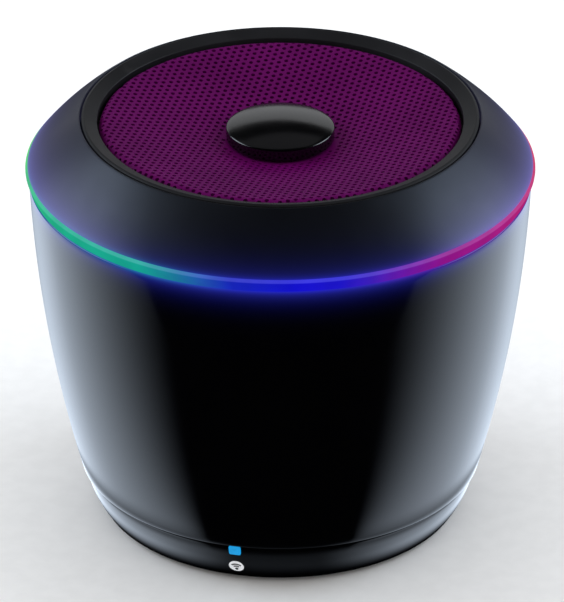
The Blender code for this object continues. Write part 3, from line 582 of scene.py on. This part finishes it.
def ring_paint():
    """Milky plastic lit from inside, whose top face is the paler line under the collar."""
    paint = Paint("light_ring_glow", 0.45, specular=0.0)
    colour = ring_colour(paint)
    line = paint.spread(paint.axis("Z"), LIGHT_TOP - 0.35 * MM, LIGHT_TOP - 0.08 * MM)
    glow = paint.mix(line, colour, TOP_LINE, "ADD")
    mottled = paint.spread(paint.noise(0.006, 3.0), 0.3, 0.7, 0.92, 1.06)
    mottled = paint.times(mottled, paint.plus(paint.times(line, 0.10), 1.0))
    paint.feed("Base Color", paint.mix(0.98, colour, (0.001, 0.001, 0.001)))
    paint.feed("Emission Color", glow)
    paint.feed("Emission Strength", mottled)
    paint.bump((paint.noise(0.0004, 2.0), 0.3, 0.00001))
    return paint.material


def grille_paint():
    paint = Paint("grille_purple_coat", 0.5, specular=0.02)
    slow = paint.noise(0.012, 4.0)
    fleck = paint.noise(0.0005, 3.0)
    shade = paint.mix(paint.spread(slow, 0.3, 0.7), (0.070, 0.0009, 0.057), (0.085, 0.0014, 0.069))
    chalky = paint.times(paint.spread(fleck, 0.55, 0.75), 0.3)
    paint.feed("Base Color", paint.mix(chalky, shade, (0.115, 0.004, 0.093)))
    paint.feed("Roughness", paint.spread(fleck, 0.3, 0.7, 0.42, 0.56))
    paint.bump((paint.noise(0.00015, 2.0), 0.4, 0.000012))
    return paint.material


def lamp_paint(name, colour):
    """Clear plastic with a lit LED behind it, brighter in the middle of its blotches."""
    paint = Paint(name, 0.25, specular=0.3)
    cloud = paint.spread(paint.noise(0.0012, 2.0), 0.3, 0.7, 0.85, 1.1)
    paint.shader.inputs["Base Color"].default_value = (0.02, 0.05, 0.08, 1.0)
    paint.feed("Emission Color", paint.mix(cloud, BLACK, colour))
    paint.shader.inputs["Emission Strength"].default_value = 1.0
    paint.bump((paint.noise(0.0003, 2.0), 0.2, 0.00001))
    return paint.material


BASE_SIDE = ((36.0 * MM, 1.9 * MM), (39.0 * MM, 9.6 * MM), 0.45 * MM)
PANEL_WIDTH = 36.0 * MM
PANEL_Z = (13.6 * MM, 32.4 * MM)
PANEL_CORNER = 3.0 * MM
PANEL_RIM = 1.4 * MM
PANEL_FLOOR = (34.6 * MM, 36.6 * MM)
GAP = 0.3 * MM
WALL = 2.2 * MM
FOOT = (25.5 * MM, 31.5 * MM)
POST_CIRCLE = 28.5 * MM
POST_TURNS = (45, 135, 225, 315)


def build_case(gloss):
    outer = bowed(*BODY, 44)
    inner = [(r - WALL, z) for r, z in outer if z < 61 * MM]
    top = BODY[1]
    outline = rounded([
        (*outer[0], 0.4 * MM),
        *outer[1:-1],
        (*top, 0.3 * MM),
        (top[0] - WALL, top[1]),
        (46.95 * MM, 66.0 * MM),
        (43.6 * MM, 66.0 * MM),
        (43.6 * MM, 64.5 * MM),
        (46.3 * MM, 61.3 * MM),
        *reversed(inner),
    ])
    body = lathe("case_body", outline, gloss)
    for degrees in POST_TURNS:
        spot = Matrix.Rotation(math.radians(degrees), 4, "Z")
        rib = box_mesh((30.5 * MM, -1.2 * MM, 13.4 * MM), (39.8 * MM, 1.2 * MM, 20.5 * MM))
        bmesh.ops.transform(rib, matrix=spot, verts=rib.verts)
        carve(body, rib, "UNION")
        post = [(0, 7.3 * MM), (3.6 * MM, 7.3 * MM), (3.6 * MM, 21.5 * MM), (0, 21.5 * MM)]
        centre = spot @ Vector((POST_CIRCLE, 0, 0))
        carve(body, lathe_mesh(post, 24, centre=centre), "UNION")
        hole = [(0, 6 * MM), (1.7 * MM, 6 * MM), (1.7 * MM, 17.4 * MM), (0, 17.4 * MM)]
        carve(body, lathe_mesh(hole, 20, centre=centre))
    window = slab_mesh(PANEL_WIDTH + 2 * GAP, (PANEL_Z[0] - GAP, PANEL_Z[1] + GAP),
                       (30 * MM, 60 * MM), PANEL_CORNER + GAP)
    carve(body, window)
    piece(body, ROOT, "body_shell", slot="gloss_case")


def build_base(gloss):
    foot_low, foot_high = FOOT
    groove = 1.9 * MM
    outline = rounded([
        (0, 0.6 * MM),
        (foot_low - GAP, 0.6 * MM),
        (foot_low - GAP, groove),
        (foot_high + GAP, groove),
        (foot_high + GAP, 0.6 * MM),
        (34.15 * MM, 0.6 * MM, 1.0 * MM),
        (35.55 * MM, 1.15 * MM, 0.9 * MM),
        *bowed(*BASE_SIDE, 12)[:-1],
        (*BASE_SIDE[1], 0.3 * MM),
        (37.0 * MM, 9.6 * MM),
        (37.0 * MM, 12.9 * MM),
        (35.3 * MM, 12.9 * MM),
        (35.1 * MM, 7.0 * MM),
        (32.8 * MM, 3.4 * MM),
        (0, 3.4 * MM),
    ])
    base = lathe("base_shell", outline, gloss)
    for degrees in POST_TURNS:
        angle = math.radians(degrees)
        centre = (POST_CIRCLE * math.cos(angle), POST_CIRCLE * math.sin(angle), 0)
        boss = [(0, 2.4 * MM), (4.6 * MM, 2.4 * MM), (4.6 * MM, 7 * MM), (0, 7 * MM)]
        carve(base, lathe_mesh(boss, 28, centre=centre), "UNION")
        hole = [(0, -1 * MM), (3.1 * MM, -1 * MM), (3.1 * MM, 4.6 * MM), (1.7 * MM, 4.6 * MM),
                (1.7 * MM, 9 * MM), (0, 9 * MM)]
        carve(base, lathe_mesh(hole, 20, centre=centre))
    for x in (-11, 11):
        for y in (-20, 18):
            post = [(0, 2.4 * MM), (2.5 * MM, 2.4 * MM), (2.5 * MM, 15.7 * MM), (1.2 * MM, 15.7 * MM),
                    (1.2 * MM, 18.4 * MM), (0, 18.4 * MM)]
            carve(base, lathe_mesh(post, 20, centre=(x * MM, y * MM, 0)), "UNION")
    notch = slab_mesh(2.5 * MM, (7.4 * MM, 9.62 * MM), (-45 * MM, -30 * MM), 0.4 * MM, per_corner=6)
    carve(base, notch)
    piece(base, ROOT, "base_cover", slot="gloss_case")


def build_light_ring():
    outline = rounded([
        (45.6 * MM, LIGHT_BOTTOM),
        (LIGHT_LOWER_RADIUS, LIGHT_BOTTOM, 0.3 * MM),
        (LIGHT_RADIUS, LIGHT_TOP, 0.22 * MM),
        (45.6 * MM, LIGHT_TOP),
    ])
    piece(lathe("glow_ring", outline, ring_paint(), 256), ROOT, "light_ring", slot="light_ring")


def build_collar():
    curve = bowed(COLLAR_EDGE, COLLAR_TOP, 0.5 * MM, 20)
    outline = rounded([
        (*curve[0], 0.12 * MM),
        *curve[1:-1],
        (*curve[-1], 0.22 * MM),
        (COLLAR_TOP[0], 82.4 * MM),
        (44.2 * MM, 78.7 * MM),
        (COLLAR_EDGE[0] - 2.3 * MM, COLLAR_EDGE[1]),
    ])
    piece(lathe("collar", outline, collar_paint()), ROOT, "top_collar", slot="satin_collar")


def build_bezel(matte):
    outline = rounded([
        (35.75 * MM, 84.0 * MM, 0.25 * MM),
        (38.3 * MM, 85.0 * MM, 0.3 * MM),
        (38.85 * MM, 84.7 * MM, 0.25 * MM),
        (38.85 * MM, 81.0 * MM),
        (41.7 * MM, 79.2 * MM),
        (41.7 * MM, 76.7 * MM),
        (39.9 * MM, 76.7 * MM),
        (39.9 * MM, 78.6 * MM),
        (37.8 * MM, 80.6 * MM),
        (33.4 * MM, 80.6 * MM),
        (33.4 * MM, 81.6 * MM),
        (35.75 * MM, 81.6 * MM),
    ])
    piece(lathe("bezel", outline, matte), ROOT, "bezel_ring", slot="matte_bezel")


# ---------------------------------------------------------------- grille
PITCH = 1.56 * MM
HOLE = 0.45 * MM
SHEET = 0.8 * MM
DISH_START = (33.55 * MM, 83.72 * MM)
DISH_SLOPE = math.radians(10.3)
ROLL = 1.55 * MM
ROLL_TURN = DISH_SLOPE + math.radians(78)
LATTICE_TURN = math.radians(30)
MIDDLE_HOLE = 3.4 * MM
PLAIN_MIDDLE = 11.0 * MM
PLAIN_EDGE = 0.32 * MM
RIM_STEPS = 240


def sheet_point(reach, depth):
    """Where a point of the flat sheet, reach from its centre, lies once the dish is pressed.

    Depth is how far the point is below the sheet's top face."""
    flat_end = DISH_START[0] / math.cos(DISH_SLOPE)
    if reach <= flat_end:
        tilt = DISH_SLOPE
        r = reach * math.cos(DISH_SLOPE)
        z = DISH_START[1] - (DISH_START[0] - r) * math.tan(DISH_SLOPE)
    else:
        turned = min((reach - flat_end) / ROLL, ROLL_TURN)
        tilt = DISH_SLOPE - turned
        r = DISH_START[0] + ROLL * (math.sin(DISH_SLOPE) - math.sin(tilt))
        z = DISH_START[1] + ROLL * (math.cos(tilt) - math.cos(DISH_SLOPE))
        spare = reach - flat_end - ROLL * ROLL_TURN
        if spare > 0:
            r += spare * math.cos(tilt)
            z += spare * math.sin(tilt)
    return r + depth * math.sin(tilt), z - depth * math.cos(tilt)


def build_grille():
    edge_reach = DISH_START[0] / math.cos(DISH_SLOPE) + ROLL * ROLL_TURN + 0.25 * MM
    points, edges = [], []

    def loop(ring):
        first = len(points)
        points.extend(ring)
        edges.extend((first + i, first + (i + 1) % len(ring)) for i in range(len(ring)))

    def circle(radius, steps, centre=(0, 0), turn=0.0):
        ring = []
        for step in range(steps):
            angle = turn + math.tau * step / steps
            x = centre[0] + radius * math.cos(angle)
            y = centre[1] + radius * math.sin(angle)
            ring.append(Vector((x, y)))
        return ring

    loop(circle(edge_reach, RIM_STEPS))
    loop(circle(MIDDLE_HOLE, 48))
    holes = []
    rows = int(edge_reach / (PITCH * 0.866)) + 1
    for row in range(-rows, rows + 1):
        for column in range(-rows - 8, rows + 9):
            x = (column + 0.5 * (row % 2)) * PITCH
            y = row * PITCH * math.sqrt(3) / 2
            spot = Vector((x, y))
            spot.rotate(Matrix.Rotation(LATTICE_TURN, 2))
            if PLAIN_MIDDLE < spot.length < edge_reach - HOLE - PLAIN_EDGE:
                holes.append(spot)
                loop(circle(HOLE, 10, spot, LATTICE_TURN))
    found, _, faces, _, _, _ = delaunay_2d_cdt(points, edges, [], 1, 1e-9)
    grid = {}
    for spot in holes:
        grid.setdefault((int(spot.x // PITCH), int(spot.y // PITCH)), []).append(spot)

    def in_hole(centre):
        if centre.length < MIDDLE_HOLE * 0.995:
            return True
        column, row = int(centre.x // PITCH), int(centre.y // PITCH)
        for i in (-1, 0, 1):
            for j in (-1, 0, 1):
                for spot in grid.get((column + i, row + j), ()):
                    if (spot - centre).length < HOLE * 0.97:
                        return True
        return False

    mesh = bmesh.new()

    def place(point, depth):
        r, z = sheet_point(point.length, depth)
        along = point.normalized()
        return mesh.verts.new((along.x * r, along.y * r, z))

    top = [place(p, 0.0) for p in found]
    bottom = [place(p, SHEET) for p in found]
    border = {}
    for corners in faces:
        centre = sum((found[i] for i in corners), Vector((0, 0))) / len(corners)
        if in_hole(centre):
            continue
        mesh.faces.new([top[i] for i in corners])
        mesh.faces.new([bottom[i] for i in reversed(corners)])
        for a, b in zip(corners, corners[1:] + corners[:1]):
            if (b, a) in border:
                del border[(b, a)]
            else:
                border[(a, b)] = True
    for a, b in border:
        mesh.faces.new([top[b], top[a], bottom[a], bottom[b]])
    loose = [v for v in mesh.verts if not v.link_faces]
    bmesh.ops.delete(mesh, geom=loose, context="VERTS")
    grille = publish("grille_mesh", mesh, grille_paint(), 40)
    piece(grille, ROOT, "grille", slot="purple_grille")


def build_cap(gloss):
    edge, crown = (10.25 * MM, 82.45 * MM), 84.0 * MM
    shares = [step / 16 for step in range(17)]
    dome = [(edge[0] * share, crown - (crown - edge[1]) * share**2) for share in shares]
    outline = rounded([
        (0, 76.4 * MM),
        (2.7 * MM, 76.4 * MM),
        (3.1 * MM, 76.8 * MM),
        (3.1 * MM, 79.3 * MM),
        (6.3 * MM, 79.4 * MM),
        (6.3 * MM, 79.9 * MM),
        (10.35 * MM, 79.9 * MM, 0.2 * MM),
        (10.6 * MM, 80.2 * MM, 0.2 * MM),
        (10.6 * MM, 82.25 * MM, 0.3 * MM),
        *reversed(dome),
    ])
    piece(lathe("badge_cap", outline, gloss, 128), ROOT, "center_cap", slot="gloss_case")


# ---------------------------------------------------------------- status light and its symbol
WINDOW_WIDTH = 2.3 * MM
WINDOW_Z = (7.5 * MM, 9.55 * MM)
SYMBOL_Z = 4.25 * MM
SYMBOL_RADIUS = 1.5 * MM


def base_side(offset):
    return [(r + offset, z) for r, z in bowed(*BASE_SIDE, 12)]


def build_status_light():
    """An acrylic bar from the board's edge, whose front end is the lit window."""
    half = WINDOW_WIDTH / 2
    front = slab_mesh(WINDOW_WIDTH, WINDOW_Z, (-45 * MM, -21 * MM), 0.35 * MM, per_corner=6)
    bar = publish("status_bar", front, lamp_paint("status_cyan", (0.0, 0.30, 0.68)))
    carve(bar, box_mesh((-half, -22.6 * MM, 7.7 * MM), (half, -21 * MM, 15.6 * MM)), "UNION")
    inside = [(0, 2 * MM), *base_side(0.01 * MM), (39 * MM, 20 * MM), (0, 20 * MM)]
    carve(bar, lathe_mesh(inside), "INTERSECT")
    piece(bar, ROOT, "status_light_pipe", slot="status_light")


def print_on_base(name, mesh, skin, colour, slot):
    """Keeps what a mesh shares with a thin skin on the base's side, as a layer of paint."""
    ink = plain(name + "_ink", colour, 0.5, grain=0.0001, depth=0.000004, vary=0.05, wear=0.1)
    made = publish(name, mesh, ink)
    carve(made, lathe_mesh([*base_side(skin[0]), *reversed(base_side(skin[1]))]), "INTERSECT")
    piece(made, ROOT, slot=slot)


def arc_outline(radius, width, half_angle, centre_z, steps=14):
    """An arc of a ring, centred on the way up, as (x, z) points."""
    turns = [half_angle * (2 * step / steps - 1) for step in range(steps + 1)]

    def line(reach):
        return [(reach * math.sin(turn), centre_z + reach * math.cos(turn)) for turn in turns]

    return [*line(radius + width / 2), *reversed(line(radius - width / 2))]


def build_symbol():
    """A white disc with a plain wireless sign: a dot with two arcs over it."""
    through = (-45 * MM, -30 * MM)
    print_on_base("status_disc", rod_mesh(SYMBOL_RADIUS, through, 0, SYMBOL_Z), (0.01 * MM, 0.05 * MM),
                  (0.95, 0.95, 0.95), "led_package")
    foot_z = SYMBOL_Z - 0.75 * MM
    sign = rod_mesh(0.32 * MM, through, 0, foot_z, 20)
    for radius in (0.78 * MM, 1.36 * MM):
        prism(sign, arc_outline(radius, 0.33 * MM, math.radians(42), foot_z), through)
    print_on_base("status_sign", sign, (0.06 * MM, 0.09 * MM), (0.01, 0.01, 0.01), "switch_black")


# ---------------------------------------------------------------- the back
KEY_Z = 26.9 * MM
KEY_PITCH = 7.5 * MM
KEY_RADIUS = 2.5 * MM
KEY_FACE = 37.9 * MM
KNOB_X = -8.0 * MM
SWITCH_TRAVEL = 3.0 * MM
PORT_Z = 19.8 * MM
USB_X = 10.0 * MM
USB_SIZE = (7.6 * MM, 2.7 * MM)
USB_Z = 19.25 * MM
AUX_Z = 20.4 * MM
AUX_NOSE = 2.8 * MM


def key_places():
    names = ("volume_down", "play", "volume_up", "light")
    return [(name, (1.5 - index) * KEY_PITCH) for index, name in enumerate(names)]


def build_panel(matte):
    floor_back, floor_front = PANEL_FLOOR
    through = (30 * MM, 40 * MM)
    slab = slab_mesh(PANEL_WIDTH, PANEL_Z, (floor_back, 47 * MM), PANEL_CORNER)
    panel = publish("control_panel", slab, matte)
    side = [(r - 0.15 * MM, z) for r, z in bowed(*BODY, 44)]
    within = [(0, 5 * MM), (side[0][0], 5 * MM), *side[1:], (0, side[-1][1])]
    carve(panel, lathe_mesh(within), "INTERSECT")
    pocket = slab_mesh(PANEL_WIDTH - 2 * PANEL_RIM, (PANEL_Z[0] + PANEL_RIM, PANEL_Z[1] - PANEL_RIM),
                       (floor_front, 60 * MM), PANEL_CORNER - PANEL_RIM)
    carve(panel, pocket)
    soften = panel.modifiers.new("soften", "BEVEL")
    soften.width = 0.2 * MM
    soften.segments = 2
    soften.limit_method = "ANGLE"
    soften.angle_limit = math.radians(50)
    settle(panel)
    for _, x in key_places():
        carve(panel, rod_mesh(KEY_RADIUS + GAP, through, x, KEY_Z))
    wide, tall = USB_SIZE[0] + 2 * GAP, USB_SIZE[1] / 2 + GAP
    carve(panel, slab_mesh(wide, (USB_Z - tall, USB_Z + tall), through, 0.9 * MM, USB_X))
    carve(panel, rod_mesh(AUX_NOSE + GAP, through, 0, AUX_Z))
    slot_middle = KNOB_X - SWITCH_TRAVEL / 2
    slot_half = SWITCH_TRAVEL / 2 + 1.15 * MM
    carve(panel, slab_mesh(2 * slot_half, (PORT_Z - 0.85 * MM, PORT_Z + 0.85 * MM), through,
                           0.3 * MM, slot_middle, 4))
    for side_x in (-16 * MM, 16 * MM):
        carve(panel, rod_mesh(1.3 * MM, (29.1 * MM, 35.2 * MM), side_x, KEY_Z, 24), "UNION")
    piece(panel, ROOT, "rear_panel", slot="matte_bezel")


def bar_outline(x, z, width, height):
    return [(x - width / 2, z - height / 2), (x + width / 2, z - height / 2),
            (x + width / 2, z + height / 2), (x - width / 2, z + height / 2)]


def key_sign(name, x):
    """The raised sign on one key: minus, play and pause, plus, or a small lamp with rays."""
    mesh = bmesh.new()
    depth = (KEY_FACE - 0.3 * MM, KEY_FACE + 0.08 * MM)
    stroke, reach = 0.38 * MM, 2.2 * MM
    if name == "play":
        # Someone facing the back sees the triangle point to their right, which is -X.
        tip, tail = x - 0.35 * MM, x + 1.25 * MM
        prism(mesh, [(tail, KEY_Z - 0.95 * MM), (tip, KEY_Z), (tail, KEY_Z + 0.95 * MM)], depth)
        for bar_x in (x - 0.75 * MM, x - 1.5 * MM):
            prism(mesh, bar_outline(bar_x, KEY_Z, stroke, 1.9 * MM), depth)
    elif name == "light":
        mesh = rod_mesh(0.55 * MM, depth, x, KEY_Z, 24)
        for step in range(8):
            spin = Matrix.Rotation(math.tau * step / 8, 2)
            corners = [spin @ Vector(c) for c in bar_outline(0, 1.1 * MM, 0.26 * MM, 0.5 * MM)]
            prism(mesh, [(x + c.x, KEY_Z + c.y) for c in corners], depth)
    else:
        prism(mesh, bar_outline(x, KEY_Z, reach, stroke), depth)
        if name == "volume_up":
            arm = (reach - stroke) / 2 - 0.01 * MM
            for end in (-1, 1):
                middle = KEY_Z + end * (stroke + arm + 0.02 * MM) / 2
                prism(mesh, bar_outline(x, middle, stroke, arm), depth)
    return mesh


def build_keys(matte):
    ink = plain("sign_grey", (0.42, 0.42, 0.43), 0.5, grain=0.0001, depth=0.000004)
    for name, x in key_places():
        outline = rounded([
            (0, 31.3 * MM),
            (1.4 * MM, 31.3 * MM),
            (1.4 * MM, 33.5 * MM),
            (KEY_RADIUS + 0.7 * MM, 33.5 * MM),
            (KEY_RADIUS + 0.7 * MM, 34.3 * MM),
            (KEY_RADIUS, 34.3 * MM),
            (KEY_RADIUS, KEY_FACE, 0.45 * MM),
            (1.6 * MM, KEY_FACE - 0.06 * MM),
            (0, KEY_FACE - 0.12 * MM),
        ])
        body = f"{name}_key"
        key = lathe(f"{name}_cap", outline, matte, 64, "Y", (x, 0, KEY_Z))
        piece(key, body, f"{name}_button", slot="matte_bezel")
        piece(publish(f"{name}_sign", key_sign(name, x), ink), body, slot="led_flex")


def build_knob(matte):
    """The power slide's knob, with three grip grooves."""
    half = 1.7 * MM
    knob = publish("power_knob", slab_mesh(2 * half, (PORT_Z - 1.35 * MM, PORT_Z + 1.35 * MM),
                                           (36.9 * MM, 38.3 * MM), 0.4 * MM, KNOB_X, 6), matte)
    for step in (-1, 0, 1):
        x = KNOB_X + step * 0.85 * MM
        low = (x - 0.17 * MM, 38.0 * MM, PORT_Z - 2 * MM)
        high = (x + 0.17 * MM, 39 * MM, PORT_Z + 2 * MM)
        carve(knob, box_mesh(low, high))
    carve(knob, box_mesh((KNOB_X - 0.8 * MM, 32.0 * MM, PORT_Z - 0.5 * MM),
                         (KNOB_X + 0.8 * MM, 37.2 * MM, PORT_Z + 0.5 * MM)), "UNION")
    piece(knob, "power_slider", "power_switch_knob", slot="matte_bezel")


def build_sockets(steel, black):
    shell = 0.35 * MM
    half, tall = USB_SIZE[0] / 2, USB_SIZE[1] / 2
    usb = publish("usb_socket", slab_mesh(USB_SIZE[0], (USB_Z - tall, USB_Z + tall),
                                          (30.8 * MM, 36.3 * MM), 0.8 * MM, USB_X), steel)
    carve(usb, slab_mesh(2 * (half - shell), (USB_Z - tall + shell, USB_Z + tall - shell),
                         (31.6 * MM, 40 * MM), 0.5 * MM, USB_X))
    piece(usb, ROOT, "usb_port", slot="steel")
    tongue = box_mesh((USB_X - 1.9 * MM, 31.65 * MM, USB_Z + 0.05 * MM),
                      (USB_X + 1.9 * MM, 35.6 * MM, USB_Z + 0.6 * MM))
    piece(publish("usb_tongue", tongue, black), ROOT, slot="switch_black")

    aux = publish("aux_body", box_mesh((-3.2 * MM, 22.9 * MM, AUX_Z - 2.5 * MM),
                                       (3.2 * MM, 34.2 * MM, AUX_Z + 2.5 * MM)), black)
    nose = rounded([
        (0, 33 * MM),
        (AUX_NOSE, 33 * MM),
        (AUX_NOSE, 36.9 * MM, 0.35 * MM),
        (0, 36.9 * MM),
    ])
    carve(aux, lathe_mesh(nose, 64, "Y", (0, 0, AUX_Z)), "UNION")
    carve(aux, rod_mesh(1.8 * MM, (24.4 * MM, 40 * MM), 0, AUX_Z, 64))
    piece(aux, ROOT, "aux_jack", slot="switch_black")


# ---------------------------------------------------------------- foot, surround and spider
def build_foot(rubber):
    low, high = FOOT
    outline = rounded([
        (low, 0, 0.3 * MM),
        (high, 0, 0.3 * MM),
        (high, 1.6 * MM),
        (low, 1.6 * MM),
    ])
    piece(lathe("foot_pad", outline, rubber), ROOT, "foot_ring", slot="foot_rubber")


def flexing(made, node):
    """A driver part, still at its outer edge on the real speaker: hides its CAD node and bakes its
    placement into its mesh.
    """
    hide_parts(node)
    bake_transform(made)


def thin_sheet(line, thickness):
    return [*line, *[(r, z + thickness) for r, z in reversed(line)]]


def build_surround(rubber):
    """The rubber half roll between the basket and the cone."""
    middle, radius, high = 27.0 * MM, 1.9 * MM, 76.4 * MM
    steps = 14
    line = [(23.4 * MM, high - 1.0 * MM)]
    for step in range(steps + 1):
        share = step / steps
        angle = math.pi * (1 - share)
        line.append((middle + radius * math.cos(angle),
                     high - 1.0 * MM * (1 - share) + radius * math.sin(angle)))
    line.append((31.6 * MM, high))
    made = lathe("roll_surround", thin_sheet(line, 0.5 * MM), rubber, 128)
    flexing(made, "driver_surround")


def build_spider(cloth):
    """The corrugated cloth that centres the coil."""
    line = []
    steps = 60
    for step in range(steps + 1):
        share = step / steps
        wave = 0.7 * MM * math.sin(math.pi * share) * math.sin(share * 6 * math.pi)
        line.append((10.2 * MM + share * 10.3 * MM, 61.6 * MM + 1.9 * MM * share + wave))
    line.append((22.3 * MM, 63.5 * MM))
    made = lathe("corrugated_spider", thin_sheet(line, 0.5 * MM), cloth, 96, sharp=60.0)
    flexing(made, "driver_spider")


# ---------------------------------------------------------------- everything else
def dress_cad_nodes():
    """Gives each CAD node that stays its material, by the record's slot."""
    paints = {
        "gloss_case": lambda: gloss_paint(),
        "matte_bezel": lambda: plain("matte_black", (0.0080, 0.0080, 0.0095), 0.5, specular=0.22),
        "inner_plastic": lambda: plain("moulded_grey", (0.05, 0.05, 0.055), 0.5),
        "foot_rubber": lambda: plain("rubber_black", (0.018, 0.018, 0.018), 0.85, 0.0003, 0.00003),
        "steel": lambda: plain("plated_steel", (0.52, 0.52, 0.54), 0.28, 0.0002, 0.000004, 1.0),
        "black_steel": lambda: plain("coated_steel", (0.03, 0.03, 0.032), 0.4, 0.0003, 0.00001, 0.6),
        "ferrite": lambda: plain("sintered_ferrite", (0.045, 0.043, 0.042), 0.7, 0.0004, 0.00003),
        "cone_paper": lambda: plain("pressed_paper", (0.03, 0.03, 0.032), 0.85, 0.0005, 0.00006),
        "coil_copper": lambda: plain("copper_wire", (0.75, 0.30, 0.13), 0.3, 0.0003, 0.00003, 1.0,
                                     stretch=(0.1, 0.1, 1)),
        "spider_cloth": lambda: plain("resined_cloth", (0.50, 0.33, 0.10), 0.85, 0.0004, 0.00006),
        "foam": lambda: plain("closed_cell_foam", (0.03, 0.03, 0.03), 0.95, 0.0006, 0.00012),
        "board_green": lambda: plain("solder_mask", (0.01, 0.10, 0.04), 0.38, 0.0008, 0.00002),
        "switch_black": lambda: plain("switch_plastic", (0.02, 0.02, 0.02), 0.45),
        "led_package": lambda: plain("led_white", (0.80, 0.78, 0.70), 0.35),
        "battery_wrap": lambda: plain("cell_wrap", (0.03, 0.16, 0.50), 0.32, 0.001, 0.00001),
        "wire_red": lambda: plain("wire_pvc", (0.45, 0.02, 0.02), 0.4),
        "led_flex": lambda: plain("flex_film", (0.72, 0.72, 0.68), 0.42),
    }
    made = {}
    for row in frame["record"]["subparts"]:
        slot, node = row["material_slot"], row["node"]
        if slot not in paints:
            continue
        if slot not in made:
            made[slot] = paints[slot]()
        target = frame["nodes"][node]
        target.data.materials.clear()
        target.data.materials.append(made[slot])
    return made


def main():
    add_camera()
    add_stage()
    made = dress_cad_nodes()
    gloss = made["gloss_case"]
    build_case(gloss_paint("case_gloss_black", True))
    build_base(gloss)
    build_light_ring()
    build_collar()
    build_bezel(made["matte_bezel"])
    build_grille()
    build_cap(gloss_paint("cap_gloss_black", specular=0.75, dull=0.06))
    build_status_light()
    build_symbol()
    build_panel(made["matte_bezel"])
    build_keys(made["matte_bezel"])
    build_knob(made["matte_bezel"])
    build_sockets(made["steel"], made["switch_black"])
    build_foot(made["foot_rubber"])
    build_surround(made["foot_rubber"])
    build_spider(made["spider_cloth"])


main()
bpy.context.scene.view_settings.view_transform = "Standard"
